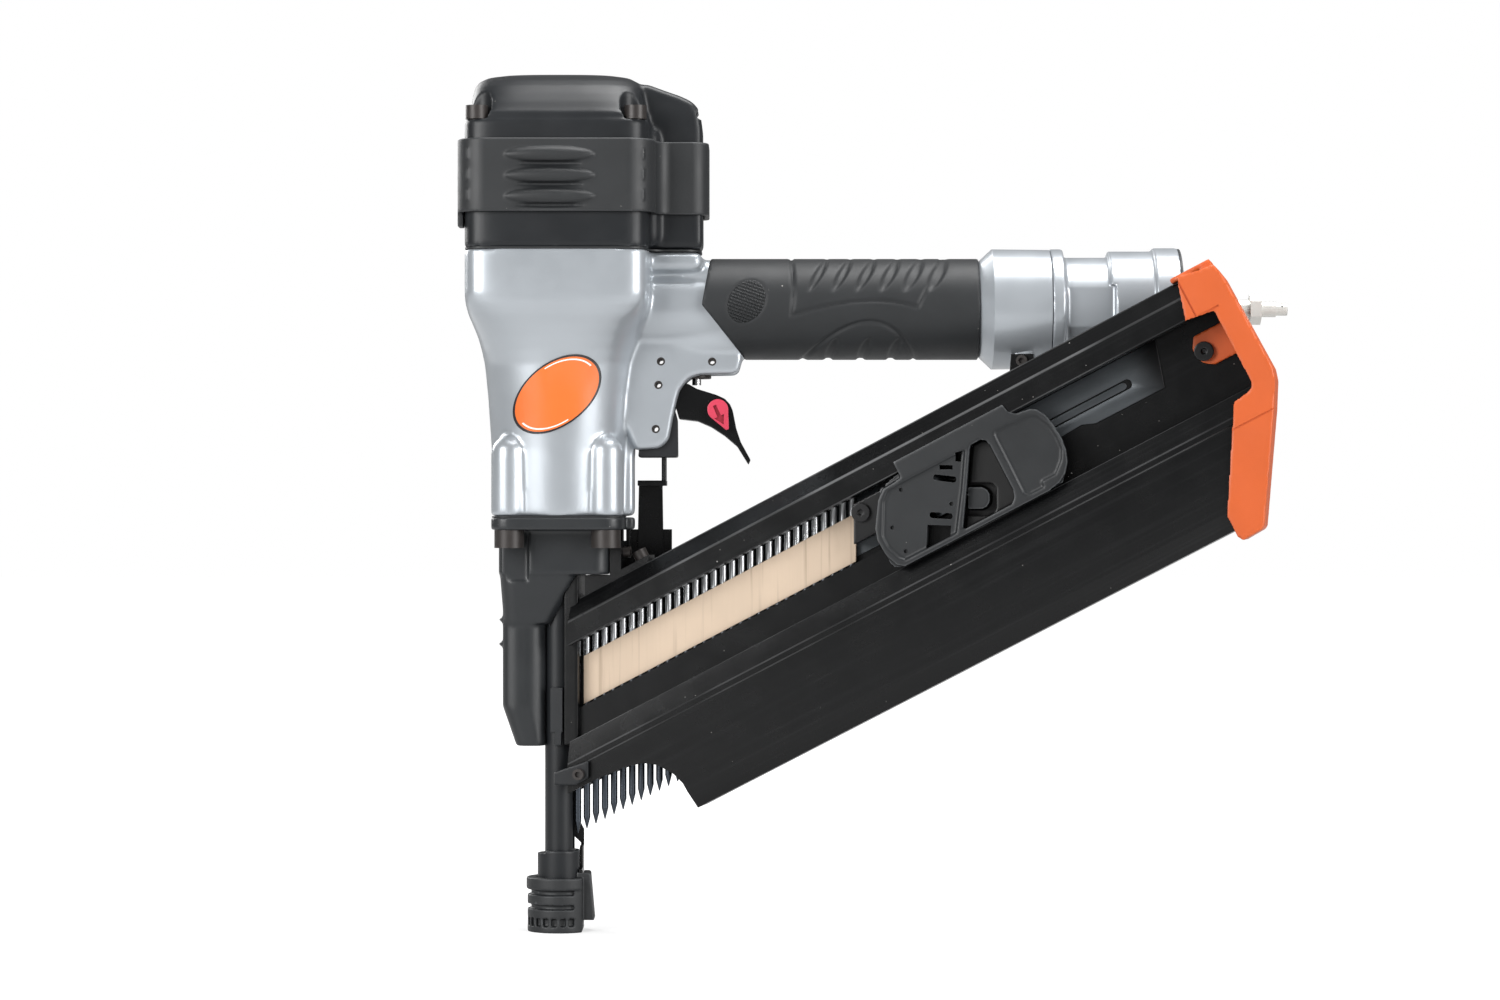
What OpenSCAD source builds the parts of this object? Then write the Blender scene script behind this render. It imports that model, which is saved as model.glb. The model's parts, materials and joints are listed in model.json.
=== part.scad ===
// Pneumatic strip nailer for paper-taped framing nails, built as an assembly.
// Frame: +Z up with the nose pointing down, +X towards the handle, and the origin on
// the driver axis where the no-mar tip meets the workpiece. Millimetres.

/* [Cylinder and driver] */
// Diameter of the piston
piston_d = 45; // [38:0.5:54]
// Height of the piston
piston_h = 13; // [10:0.5:16]
// Stroke of the piston, which sets the height of the cylinder and the cap
stroke = 122; // [100:1:146]
// Wall of the cylinder sleeve
sleeve_wall = 2.6; // [2.2:0.1:4]
// Wall of the housing round the sleeve
barrel_wall = 3.9; // [3:0.1:6]
// Height of the rubber bumper under the piston
bumper_h = 16.5; // [12:0.5:20]
// Diameter of the driver blade
driver_d = 6.6; // [5.6:0.1:7]
// Lift of the head valve
valve_lift = 6; // [4:0.5:8]

/* [Cap] */
// Side of the square cylinder cap
cap_side = 82; // [80:1:100]
// Corner radius of the cap
cap_corner = 10; // [9:0.5:14]
// Height of the cap from its gasket to its crown
cap_h = 79; // [74:1:84]
// Depth from the crown to the faces under the cap screws
cap_seat_drop = 22.6; // [20:0.2:26]
// Reach of the rear lobe from the driver axis
lobe_reach = 64.5; // [60:0.5:70]
// Width of the rear lobe
lobe_w = 37; // [32:1:44]
// Distance of each cap screw from the middle planes
cap_screw_xy = 35; // [33:0.5:36]
// Thread diameter of the cap screws
cap_screw_d = 6; // [5:1:8]
// Length of the cap screws under the head
cap_screw_len = 74; // [70:1:80]
// Height of the rubber band
band_h = 32.3; // [26:0.5:36]
// Thickness of the rubber band
band_t = 2.7; // [2:0.1:4]

/* [Handle] */
// Length of the rubber grip
grip_len = 124; // [100:1:150]
// Outer diameter of the grip
grip_d = 45.4; // [42:0.2:50]
// Outer diameter of the handle tube under the grip
tube_d = 38; // [36:0.5:40]
// Wall of the handle tube
tube_wall = 3.5; // [3:0.1:6]
// Length of the flared bell behind the grip
bell_len = 31.7; // [28:0.5:40]
// Length of the end cap behind the bell
end_cap_len = 57; // [50:1:66]
// Width over the faces of the air plug's hexagon
plug_hex = 12; // [12:1:17]
// Diameter of the plug's thread
plug_thread_d = 13; // [11:0.5:14]
// Diameter of the plug's coupling shoulder
plug_d = 6.9; // [6:0.1:8]

/* [Trigger] */
// Outer diameter of the spring pins
pin_d = 3.6; // [3:0.1:4.4]
// Inner diameter of the spring pins
pin_bore_d = 2.2; // [1.4:0.1:2.4]
// Width over the two cheeks of the housing
cheek_w = 25.2; // [24:0.2:30]
// Width of the slot between the cheeks
slot_w = 18.6; // [18:0.2:19]
// Width of the trigger
trigger_w = 17.6; // [16.6:0.1:17.8]
// Thickness of the trigger's side walls
trigger_wall = 2.2; // [1.6:0.1:2.4]
// Diameter of the selector shaft
selector_d = 4; // [3.4:0.1:4.6]
// Travel of the trigger valve's plunger
plunger_travel = 3; // [2.6:0.1:3.4]
// Travel of the contact foot
contact_travel = 9.5; // [6:0.5:9.5]

/* [Nose] */
// Height of the nose flange's underside above the workpiece
nose_h = 180.2; // [176:0.2:190]
// Thickness of the nose flange
flange_t = 5.5; // [5:0.1:8]
// Outer diameter of the drive guide tube
guide_d = 13.4; // [13:0.1:14]
// Thread diameter of the nose screws
nose_screw_d = 8; // [6:1:8]
// Outer diameter of the contact foot's sleeve
foot_d = 20; // [19:0.5:22]
// Outer diameter of the no-mar tip
tip_d = 30; // [28:0.5:34]
// Height of the no-mar tip
tip_h = 24.3; // [22:0.1:28]

/* [Nails] */
// Diameter of a nail's shank
shank_d = 3.1; // [2.8:0.1:3.1]
// Diameter of a nail's head
head_d = 7; // [6.6:0.1:7.2]
// Length of a nail
nail_len = 90; // [75:1:90]
// Distance from nail to nail in the strip
nail_pitch = 4.15; // [4.1:0.05:4.6]
// Number of nails in the strip
nail_count = 32; // [10:1:36]
// Width of the paper tape
tape_w = 19; // [14:1:20]

/* [Magazine] */
// Slope of the magazine
feed_slope = 27.5; // [27.5:0.5:27.5]
// Turn of the magazine away from the handle
feed_yaw = 10; // [10:0.5:12]
// Length of the magazine along its upper edge
mag_len = 384; // [376:1:400]
// Depth of the magazine across its slope
mag_h = 107.6; // [107.6:0.1:112]
// Width of the magazine
mag_w = 30; // [30:0.5:34]
// Wall of the magazine
mag_wall = 2.2; // [1.8:0.1:3]
// Height of the lower wall, up to its ridge
ridge_h = 43.5; // [38:0.5:46]
// Travel that is drawn for the nail strip
strip_travel = 12; // [4:1:16]
// Travel that is drawn for the pusher
pusher_travel = 40; // [20:1:42]

/* [Hidden] */

$fn = 64;
clear = 0.3;    // gap between pieces that pass each other
run = 0.05;     // radial clearance of a pin or a shaft in its bore
eps = 0.01;     // overlap that keeps cuts clean
far = 400;      // longer than anything that is cut

metal = "#b7bdc2";
black = "#2b2d30";
graphite = "#3c4043";
orange = "#f58a4c";

// Heights from the nose flange up to the crown
flange_top = nose_h + flange_t;
gasket_t = 0.6;
body_z = flange_top + gasket_t;
bumper_top = flange_top + bumper_h;
piston_z = bumper_top + clear + stroke;
piston_top = piston_z + piston_h;
sleeve_top = piston_top + 2.2;
head_valve_z = sleeve_top + clear;
head_valve_h = 14;
valve_spring_room = 22;
chamber_top = head_valve_z + head_valve_h + valve_spring_room;
crown_t = 8;
cap_top = chamber_top + crown_t;
cap_z = cap_top - cap_h;
cap_gasket_t = 0.8;
body_top = cap_z - cap_gasket_t;
cap_seat = cap_top - cap_seat_drop;
band_z = cap_z + 15.4;
handle_z = body_top - 25;

// Radii of the cylinder, from the piston outwards
piston_r = piston_d / 2;
sleeve_in = piston_r + run;
sleeve_out = sleeve_in + sleeve_wall;
bore_r = sleeve_out + 0.25;
barrel_r = bore_r + barrel_wall;
head_valve_r = sleeve_out + 2;
cavity_r = head_valve_r + 3;

// Screws of the nose, set close outside the bore
nose_web = 0.95;
nose_screw_r = nose_screw_d / 2;
nose_screw_xy = (bore_r + nose_web + nose_screw_r + run) / sqrt(2);
nose_boss_r = nose_screw_r + 4;
nose_head_r = nose_screw_r * 1.625;
flange_half = nose_screw_xy + nose_boss_r;

// Trigger group, placed from the barrel and the handle axis
trigger_x = 44.6;
trigger_dz = -34.3;
trigger_angle = 11;
guide_pin_x = 43.4;
guide_pin_dz = -54;
stop_pin_x = 45.7;
stop_pin_dz = -23.8;
valve_pin_x = 68.6;
valve_pin_dz = -23.9;
valve_x = 61.5;
selector_x = 71.1;
selector_dz = -45.3;
rod_x = 46.9;
rod_r = 1.15;
slot_roof = -27.5;
valve_r = 6.6;
plunger_dz = -34.1;

// Free height on the barrel for the badge, between the nose bosses and the shoulder
badge_low = body_z + 36;
badge_room = body_top - 46 - badge_low;

// Handle stations along X
grip_x = 64;
bell_x = grip_x + grip_len;
end_cap_x = bell_x + bell_len + clear;
plug_x = end_cap_x + end_cap_len;
grip_r = grip_d / 2;
tube_r = tube_d / 2;
tube_in = tube_r - tube_wall;

// Nose
guide_r = guide_d / 2;
guide_bore = head_d / 2 + 0.3;
foot_z = 3.2;
foot_in = guide_r + clear;
foot_r = foot_d / 2;
foot_top = 36.3;
guide_z = foot_z + contact_travel + clear;
tip_in = foot_r + clear;
arm_y = 17.2;
arm_t = 1.8;
arm_top = handle_z - 79.3;
spring_x = 39;
spring_y = arm_y + arm_t + 6.2;
ledge_z = nose_h - 16.2;
arm_tab_z = ledge_z - 34;

// Magazine
mag_z = 22.8;
mag_half = mag_w / 2;
rail_low = mag_h - 17.1;
head_ledge = rail_low + 1.2;
rise = tan(feed_slope);
shank_r = shank_d / 2;
head_r = head_d / 2;
head_h = 1.3;
head_clip = nail_pitch - shank_r - 0.25;
head_z = 129.6;
driver_tip = head_z + 4.4;
front_x = 7;
shoe_x = 10.2;
tape_z = 65;
channel_far = 4;
rear_screw = [mag_len - 101, 62];
liner_t = 0.9;
strip_end = nail_count * nail_pitch + shank_r;
pusher_x = strip_end / cos(feed_slope) + 49;
drum_r = 6.4;
band_y = channel_far - liner_t - clear - 0.3;
drum_x = pusher_x + 32;
lug_x = bell_x + 14;

// ---------------------------------------------------------------- helpers

// Flat outline in X and Z, given a thickness from y0 to y1
module slab(y0, y1) {
    translate([0, y1, 0]) rotate([90, 0, 0]) linear_extrude(y1 - y0) children();
}

// Tilts and turns its children onto the magazine: x along it, z across its slope
module on_magazine() {
    translate([0, 0, mag_z]) rotate([0, 0, -feed_yaw]) rotate([0, -feed_slope, 0]) children();
}

// Turns its children into the upright plane of the nail strip
module on_feed_plane() {
    rotate([0, 0, -feed_yaw]) children();
}

// Moves its children to the handle axis
module at_handle() {
    translate([0, 0, handle_z]) children();
}

// Rod along X from x0 to x1
module rod_x_axis(r, x0, x1) {
    translate([x0, 0, 0]) rotate([0, 90, 0]) cylinder(r = r, h = x1 - x0);
}

// Pin across the tool, centred on Y
module cross_pin(r, x, z, w) {
    translate([x, w / 2, z]) rotate([90, 0, 0]) cylinder(r = r, h = w);
}

// Ring of round section, lying flat
module o_ring(major, minor) {
    rotate_extrude() translate([major, 0]) circle(minor, $fn = 24);
}

// Rectangle with round corners, centred
module rounded_rect(x, y, r) {
    square([x - 2 * r, y], center = true);
    square([x, y - 2 * r], center = true);
    for (sx = [-1, 1], sy = [-1, 1])
        translate([sx * (x / 2 - r), sy * (y / 2 - r)]) circle(r);
}

// Calls its children at the four corners of a square
module at_corners(xy) {
    for (sx = [-1, 1], sy = [-1, 1]) translate([sx * xy, sy * xy, 0]) children();
}

// Bar of any outline whose ends are rounded by the two circles
module link(a, b, w) {
    way = atan2(b[1] - a[1], b[0] - a[0]);
    polygon([
        for (turn = [90:30:270]) a + w / 2 * [cos(way + turn), sin(way + turn)],
        for (turn = [-90:30:90]) b + w / 2 * [cos(way + turn), sin(way + turn)]
    ]);
}

// Round-wire compression spring that stands on z = 0
module coil_spring(r, wire, h, turns) {
    steps = 16;
    sides = 8;
    rings = round(steps * turns);
    rise_per_ring = (h - 2 * wire) / rings;
    points = [
        for (i = [0:rings], j = [0:sides - 1])
            let (a = 360 * i / steps, b = 360 * j / sides, q = r + wire * cos(b))
                [q * cos(a), q * sin(a), wire + i * rise_per_ring + wire * sin(b)]
    ];
    skin = [
        for (i = [0:rings - 1], j = [0:sides - 1])
            let (k = (j + 1) % sides)
                [i * sides + j, i * sides + k, (i + 1) * sides + k, (i + 1) * sides + j]
    ];
    start = [for (j = [sides - 1:-1:0]) j];
    end = [for (j = [0:sides - 1]) rings * sides + j];
    polyhedron(points = points, faces = concat([start], skin, [end]));
}

// Socket-head screw, head down at z = 0 and shank upwards
module cap_head_screw(d, len) {
    difference() {
        union() {
            translate([0, 0, -d]) cylinder(d = d * 1.65, h = d);
            cylinder(d = d, h = len);
        }
        translate([0, 0, -d - eps]) cylinder(d = d * 0.95, h = d * 0.5, $fn = 6);
    }
}

// Outline of the cap, the gasket and the top of the housing
module cap_plan(grow = 0) {
    half = cap_side / 2 + grow;
    lobe_half = lobe_w / 2 + grow;
    fillet = 7;
    rounded_rect(2 * half, 2 * half, cap_corner + grow);
    translate([(lobe_reach + grow) / 2, 0])
        rounded_rect(lobe_reach + grow, 2 * lobe_half, 8);
    for (s = [-1, 1]) translate([half - eps, s * (lobe_half - eps)]) scale([1, s]) difference() {
        square(fillet);
        translate([fillet, fillet]) circle(fillet);
    }
}

// ---------------------------------------------------------------- cap group

module cylinder_cap() color(graphite) difference() {
    union() {
        translate([0, 0, cap_z]) linear_extrude(cap_seat - cap_z) cap_plan();
        // low crown with a rolled edge
        hull() {
            translate([0, 0, cap_seat - 1]) linear_extrude(cap_seat_drop - 13)
                rounded_rect(cap_side - 2, cap_side - 2, cap_corner + 3, $fn = 32);
            translate([0, 0, cap_top - 4.8]) linear_extrude(1)
                rounded_rect(cap_side - 11, cap_side - 16, 16, $fn = 32);
            translate([0, 0, cap_top - 2]) linear_extrude(0.5)
                rounded_rect(cap_side - 18, cap_side - 34, 18, $fn = 32);
            translate([0, 0, cap_top - 1]) linear_extrude(1)
                rounded_rect(cap_side - 32, cap_side - 56, 12, $fn = 32);
        }
        // sloping back of the lobe
        hull() {
            translate([20, -lobe_w / 2 + 3, cap_seat - 1]) cube([20.5, lobe_w - 6, cap_seat_drop - 6]);
            translate([lobe_reach - 2.4, 0, cap_seat - 1]) linear_extrude(8.4)
                rounded_rect(4.6, lobe_w - 8, 2.2, $fn = 32);
        }
    }
    // pockets and holes of the cap screws
    at_corners(cap_screw_xy) {
        translate([0, 0, cap_seat]) cylinder(d = cap_screw_d * 1.65 + 3, h = far);
        cylinder(r = cap_screw_d / 2 + clear, h = far);
    }
    // air space, head valve bore and the passage into the lobe
    translate([0, 0, cap_z - eps]) cylinder(r = cavity_r, h = head_valve_z - cap_z);
    translate([0, 0, cap_z]) cylinder(r = head_valve_r + clear, h = chamber_top - cap_z);
    translate([0, -lobe_w / 2 + 6, cap_z - eps]) cube([lobe_reach - 8, lobe_w - 12, 38]);
    // exhaust passage out of the lobe
    translate([0, 0, cap_seat + 4]) {
        rod_x_axis(3.6, head_valve_r - 2, lobe_reach + 5);
        rod_x_axis(4.5, lobe_reach - 5, lobe_reach + 5);
    }
}

module cap_screws() color("#33353a") at_corners(cap_screw_xy)
    translate([0, 0, cap_seat]) mirror([0, 0, 1]) cap_head_screw(cap_screw_d, cap_screw_len);

module cap_gasket() color("#1c1d1f") translate([0, 0, body_top]) linear_extrude(cap_gasket_t)
    difference() {
        cap_plan(-0.6);
        circle(bore_r + 2);
        for (sx = [-1, 1], sy = [-1, 1])
            translate([sx * cap_screw_xy, sy * cap_screw_xy]) circle(cap_screw_d / 2 + clear);
        translate([20, -lobe_w / 2 + 8]) square([lobe_reach - 30, lobe_w - 16]);
    }

module bumper_band() color(graphite) {
    rib_pitch = 9.1;
    rib_r = 170;
    difference() {
        union() {
            translate([0, 0, band_z]) linear_extrude(band_h) cap_plan(band_t);
            // raised lens ribs on the two flanks
            for (s = [-1, 1], i = [0:2]) intersection() {
                translate([0, s * (cap_side / 2 + band_t + 2.4 - rib_r), band_z + 5 + i * rib_pitch])
                    cylinder(r = rib_r, h = 4.4, $fn = 128);
                translate([-cap_side / 2 + 2, s * cap_side / 4 - 25, 0]) cube([cap_side - 4, 50 + 30, far]);
            }
        }
        translate([0, 0, band_z - eps]) linear_extrude(far) cap_plan(0.05);
    }
    // tongues at the front corners
    for (y = [-33, 21]) difference() {
        translate([-cap_side / 2 - band_t, y, band_z - 6.2]) cube([band_t, 12, 6.2 + eps]);
        translate([0, 0, band_z - 7]) linear_extrude(8) cap_plan(0.2);
    }
}

// ---------------------------------------------------------------- cylinder group

module head_valve() color("#d8d3c4") difference() {
    translate([0, 0, head_valve_z]) cylinder(r = head_valve_r, h = head_valve_h);
    translate([0, 0, head_valve_z - eps]) cylinder(r = sleeve_in - 6, h = 6);
    translate([0, 0, head_valve_z - eps]) cylinder(r = 5, h = far);
    // groove for the seat seal and pocket for the spring
    translate([0, 0, head_valve_z - eps]) difference() {
        cylinder(r = sleeve_out + 0.4, h = 2 + eps);
        translate([0, 0, -1]) cylinder(r = sleeve_in - 1.4, h = 4);
    }
    translate([0, 0, head_valve_z + 9]) difference() {
        cylinder(r = 18, h = 8);
        translate([0, 0, -1]) cylinder(r = 11, h = 10);
    }
}

module head_valve_seal() color("#1c1d1f") translate([0, 0, head_valve_z]) difference() {
    cylinder(r = sleeve_out + 0.3, h = 2);
    translate([0, 0, -1]) cylinder(r = sleeve_in - 1.3, h = 4);
}

module head_valve_spring() color("#c8ccd0") translate([0, 0, head_valve_z + 9])
    coil_spring(14.5, 1, chamber_top - head_valve_z - 9, 4);

module cylinder_sleeve() color("#d9dcde") difference() {
    union() {
        translate([0, 0, flange_top]) cylinder(r = sleeve_out, h = sleeve_top - flange_top);
    }
    translate([0, 0, flange_top - 1]) cylinder(r = sleeve_in, h = far);
    for (z = [flange_top + 5, body_top - 14]) translate([0, 0, z]) difference() {
        cylinder(r = sleeve_out + 1, h = 2);
        translate([0, 0, -1]) cylinder(r = sleeve_out - 1.4, h = 4);
    }
    // return-air ports above the bumper and at mid height
    for (a = [0:45:315]) rotate(a) for (z = [bumper_top + 3, bumper_top + 48])
        translate([0, 0, z]) rod_x_axis(1.5, 10, 40);
}

module sleeve_o_rings() color("#1c1d1f") for (z = [flange_top + 6, body_top - 13])
    translate([0, 0, z]) o_ring(sleeve_out - 0.55, 0.75);

module piston() color("#aab0b5") difference() {
    translate([0, 0, piston_z]) cylinder(r = piston_r, h = piston_h);
    // ring groove, nut recess and the hole of the blade's thread
    translate([0, 0, piston_z + piston_h / 2 - 1]) difference() {
        cylinder(r = piston_r + 1, h = 2);
        translate([0, 0, -1]) cylinder(r = piston_r - 1.7, h = 4);
    }
    translate([0, 0, piston_top - 6]) cylinder(r = 9, h = 10);
    cylinder(r = 4 + run, h = far);
    translate([0, 0, piston_z - eps]) difference() {
        cylinder(r = piston_r - 3.5, h = 4);
        translate([0, 0, -1]) cylinder(r = 8, h = 6);
    }
}

module piston_ring() color("#1c1d1f") translate([0, 0, piston_z + piston_h / 2])
    o_ring(piston_r - 0.85, 0.8);

module piston_nut() color("#8d9297") translate([0, 0, piston_top - 6]) difference() {
    cylinder(d = 15, h = 5, $fn = 6);
    translate([0, 0, -1]) cylinder(r = 4 + run, h = 8);
}

module driver_blade() color("#9aa0a6") {
    difference() {
        translate([0, 0, driver_tip]) cylinder(d = driver_d, h = piston_z - driver_tip);
        // flat that lets the blade pass the head of the waiting nail
        on_feed_plane() translate([nail_pitch - head_r - clear, -10, 0]) cube([20, 20, piston_z - 14]);
    }
    translate([0, 0, piston_z]) cylinder(r = 4, h = piston_h - 0.8);
}

module piston_bumper() color("#6f5f38") translate([0, 0, flange_top]) difference() {
    cylinder(r = sleeve_in - 0.3, h = bumper_h);
    translate([0, 0, -1]) cylinder(d = driver_d + 2.4, h = far);
    translate([0, 0, bumper_h * 0.45]) rotate_extrude() translate([sleeve_in + 1.2, 0]) circle(3.2);
}

// ---------------------------------------------------------------- housing

// Side outline of the two cheeks, from the handle axis
module cheek_outline() polygon([
    [0, 0], [24, -36], [31.9, -58.8], [34.2, -63.5], [45.5, -62.6], [49.4, -58.8],
    [50.9, -50], [52.8, -41.2], [54.3, -36.4], [58.2, -31.5], [63.1, -29.8],
    [79.2, -29.5], [80.6, -28], [82.1, -22.6], [82.1, 0]
]);

// Side outline of the grip, from the handle axis
module grip_outline(grow = 0) polygon([
    [grip_x + 6.9 - grow, 40], [grip_x - grow, 1.2], [grip_x + 19.4 - grow, -22.8],
    [grip_x + 19.4 - grow, -40], [bell_x, -40], [bell_x, 40]
]);

module housing() color(metal) difference() {
    union() {
        // square head, shoulder and round barrel
        translate([0, 0, body_top - 19]) linear_extrude(19) rounded_rect(cap_side, cap_side, cap_corner);
        hull() {
            translate([0, 0, body_top - 19 - eps]) linear_extrude(1)
                rounded_rect(cap_side, cap_side, cap_corner, $fn = 32);
            translate([0, 0, body_top - 32]) linear_extrude(1)
                rounded_rect(73, 73, 16, $fn = 32);
            translate([0, 0, body_top - 46]) cylinder(r = barrel_r + 3.2, h = 1, $fn = 64);
        }
        barrel_cone();
        translate([0, 0, body_top - 9]) linear_extrude(9) cap_plan();
        // lobe runs down into the handle root
        hull() {
            translate([20, -lobe_w / 2, body_top - 9]) cube([lobe_reach - 24, lobe_w, 1]);
            at_handle() rod_x_axis(grip_r - 4, 20, lobe_reach - 4);
        }
        // bosses of the nose screws
        at_corners(nose_screw_xy) translate([0, 0, body_z]) {
            cylinder(r = nose_boss_r, h = 28);
            translate([0, 0, 28]) sphere(r = nose_boss_r);
        }
        at_handle() {
            // handle root and cheeks, then the tube and the bell
            difference() {
                union() {
                    rod_x_axis(grip_r - 0.7, 12, bell_x - 20);
                    slab(-cheek_w / 2, cheek_w / 2) cheek_outline();
                }
                slab(-40, 40) grip_outline(0.05);
            }
            rod_x_axis(tube_r, 12, bell_x + 2);
            translate([bell_x, 0, 0]) rotate([0, 90, 0]) rotate_extrude() polygon([
                [tube_in, 0], [grip_r - 0.3, 0], [26.2, 6.5], [27, 10], [26.6, bell_len], [tube_in, bell_len]
            ]);
        }
        bracket_lug();
        // web behind the barrel, down to the nose
        translate([18, -9, body_z]) cube([15.6, 18, 34]);
    }
    // bore for the sleeve, air space under the cap and the handle's reservoir
    translate([0, 0, body_z - 1]) cylinder(r = bore_r, h = far);
    translate([0, 0, body_top - 8]) cylinder(r = bore_r + 2, h = far);
    translate([20, -lobe_w / 2 + 8, body_top - 30]) cube([lobe_reach - 30, lobe_w - 16, 40]);
    at_handle() rod_x_axis(tube_in, 14, bell_x + bell_len + 1);
    at_corners(cap_screw_xy) translate([0, 0, cap_seat - cap_screw_len - 1])
        cylinder(r = cap_screw_d / 2 + run, h = far);
    at_corners(nose_screw_xy) translate([0, 0, body_z - 1]) cylinder(r = nose_screw_r + run, h = 22);
    at_handle() {
        // slot between the cheeks
        slab(-slot_w / 2, slot_w / 2) polygon([
            [barrel_r + 4.4, slot_roof], [90, slot_roof], [90, -90], [barrel_r + 4.4, -90]
        ]);
        // valve pocket and the holes of the pins
        translate([valve_x, 0, slot_roof - 5]) cylinder(r = valve_r + 0.15, h = 25);
        cross_pin(pin_d / 2 + run, trigger_x, trigger_dz, 60);
        cross_pin(pin_d / 2 + run, guide_pin_x, guide_pin_dz, 60);
        cross_pin(pin_d / 2 + run, stop_pin_x, stop_pin_dz, 60);
        cross_pin(pin_d / 2 + run, valve_pin_x, valve_pin_dz, 60);
    }
}

// Round barrel of the housing, a little wider towards the top
module barrel_cone(grow = 0) translate([0, 0, body_z])
    cylinder(r1 = barrel_r + 0.4 + grow, r2 = barrel_r + 3.2 + grow, h = body_top - 46 - body_z);

// Lug under the bell that carries the magazine's rear bracket
module bracket_lug() on_feed_plane()
    translate([lug_x, mag_half + 3, handle_z - 32]) difference() {
        cube([10, 12, 17]);
        translate([5, -1, 8.2]) rotate([-90, 0, 0]) cylinder(r = 1.5 + run, h = 9);
    }

module badge() color(orange) intersection() {
    difference() {
        barrel_cone(0.8);
        barrel_cone(0.17);
    }
    translate([0, 0, badge_low + badge_room / 2]) slab(-60, 0)
        rotate(37.5) scale([1, 0.61]) circle(min(22.5, badge_room * 0.626));
}

module body_pins() color("#2e2f31") at_handle() for (p = [
    [guide_pin_x, guide_pin_dz], [stop_pin_x, stop_pin_dz], [valve_pin_x, valve_pin_dz]
]) spring_pin(p[0], p[1]);

module trigger_pin() color("#2e2f31") at_handle() spring_pin(trigger_x, trigger_dz);

module spring_pin(x, z) difference() {
    cross_pin(pin_d / 2, x, z, cheek_w - 0.4);
    cross_pin(pin_bore_d / 2, x, z, cheek_w + 2);
}

// ---------------------------------------------------------------- trigger group

module trigger_guide() color(black) at_handle() difference() {
    slab(-slot_w / 2 + clear, slot_w / 2 - clear) polygon([
        [35.4, -66.7], [53.2, -66.7], [53, -50], [51.9, -45.7], [45, -45.7], [40, -48], [36, -60]
    ]);
    cross_pin(pin_d / 2 + run, guide_pin_x, guide_pin_dz, 40);
    translate([rod_x, 0, -80]) cylinder(r = rod_r + 0.35, h = 60);
}

// Side outline of the trigger
module trigger_outline() polygon([
    [trigger_x, trigger_dz + 3.6], [57.9, -33.7], [61.7, -35.9], [70.2, -38.5],
    [74.2, -40.3], [76.6, -42.9], [77.8, -45.7], [79.4, -53.8], [81.4, -59.8],
    [85.8, -67.8], [84.8, -69.9], [79.8, -61.8], [74.2, -57], [68.1, -53], [62.1, -50.4],
    [53.7, -49.4], [52.4, -44.6], [49, -42.6], [trigger_x, trigger_dz - 3.6]
]);

module trigger() color(black) at_handle() difference() {
    union() {
        slab(-trigger_w / 2, trigger_w / 2) trigger_outline();
        cross_pin(4.5, trigger_x, trigger_dz, trigger_w);
    }
    // pocket for the contact lever, with a web that seats the spring
    slab(-trigger_w / 2 + trigger_wall, trigger_w / 2 - trigger_wall) polygon([
        [30, -20], [49.5, -20], [49.5, -34.9], [54.4, -34.9], [54.4, -20], [80, -20], [75.4, -43.2],
        [76.2, -52], [72, -53], [62.8, -48.2], [55.2, -47.2], [50, -47.2], [49, -60], [30, -60]
    ]);
    slab(-trigger_w / 2 + trigger_wall, trigger_w / 2 - trigger_wall)
        translate([49, -32.9]) square([7.5, 10]);
    cross_pin(pin_d / 2 + run, trigger_x, trigger_dz, 40);
    cross_pin(selector_d / 2 + run, selector_x, selector_dz, 40);
}

module trigger_spring() color("#c8ccd0") at_handle() translate([52.1, 0, -32.85])
    coil_spring(1.7, 0.35, slot_roof + 32.8, 4);

module selector_knob() color("#e2526d") at_handle() {
    side = trigger_w / 2 + clear;
    cross_pin(selector_d / 2, selector_x, selector_dz, 2 * side);
    slab(-side - 2.7, -side) {
        translate([selector_x, selector_dz]) circle(4.7);
        polygon([
            [selector_x - 3.4, selector_dz - 3.3], [selector_x + 4.7, selector_dz + 0.6],
            [selector_x + 4.9, selector_dz - 8.8], [selector_x + 3.8, selector_dz - 9.2]
        ]);
    }
    slab(side, side + 1.2) translate([selector_x, selector_dz]) circle(3.4);
}

module contact_lever() color("#9aa0a6") at_handle() difference() {
    slab(-4, 4) {
        translate([selector_x, selector_dz]) circle(3.9);
        polygon([
            [selector_x, selector_dz + 3.9], [64, -37], [59, -36.8], [52, -38.4],
            [45.9, -39.9], [45.9, -42.5], [52, -41], [60, -39.8], [selector_x - 3.6, selector_dz]
        ]);
    }
    cross_pin(selector_d / 2 + run, selector_x, selector_dz, 40);
}

module valve_housing() color("#c9b26a") at_handle() translate([valve_x, 0, 0]) difference() {
    translate([0, 0, -31.3]) cylinder(r = valve_r, h = 23.3);
    // groove for the locking pin
    translate([0, 0, valve_pin_dz - pin_d / 2 - 0.2]) difference() {
        cylinder(r = valve_r + 1, h = pin_d + 0.4);
        translate([0, 0, -1]) cylinder(r = valve_pin_x - valve_x - pin_d / 2 - 0.1, h = pin_d + 3);
    }
    for (z = [-19.5, -12.5]) translate([0, 0, z]) difference() {
        cylinder(r = valve_r + 1, h = 1.6);
        translate([0, 0, -1]) cylinder(r = valve_r - 1.2, h = 4);
    }
    // bore of the stem, chamber of the plunger's head and a vent
    translate([0, 0, -40]) cylinder(r = 2 + run, h = 60);
    translate([0, 0, -24]) cylinder(r = 3.5, h = 14);
}

module valve_o_rings() color("#1c1d1f") at_handle() for (z = [-18.7, -11.7])
    translate([valve_x, 0, z]) o_ring(valve_r - 0.55, 0.65);

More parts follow.
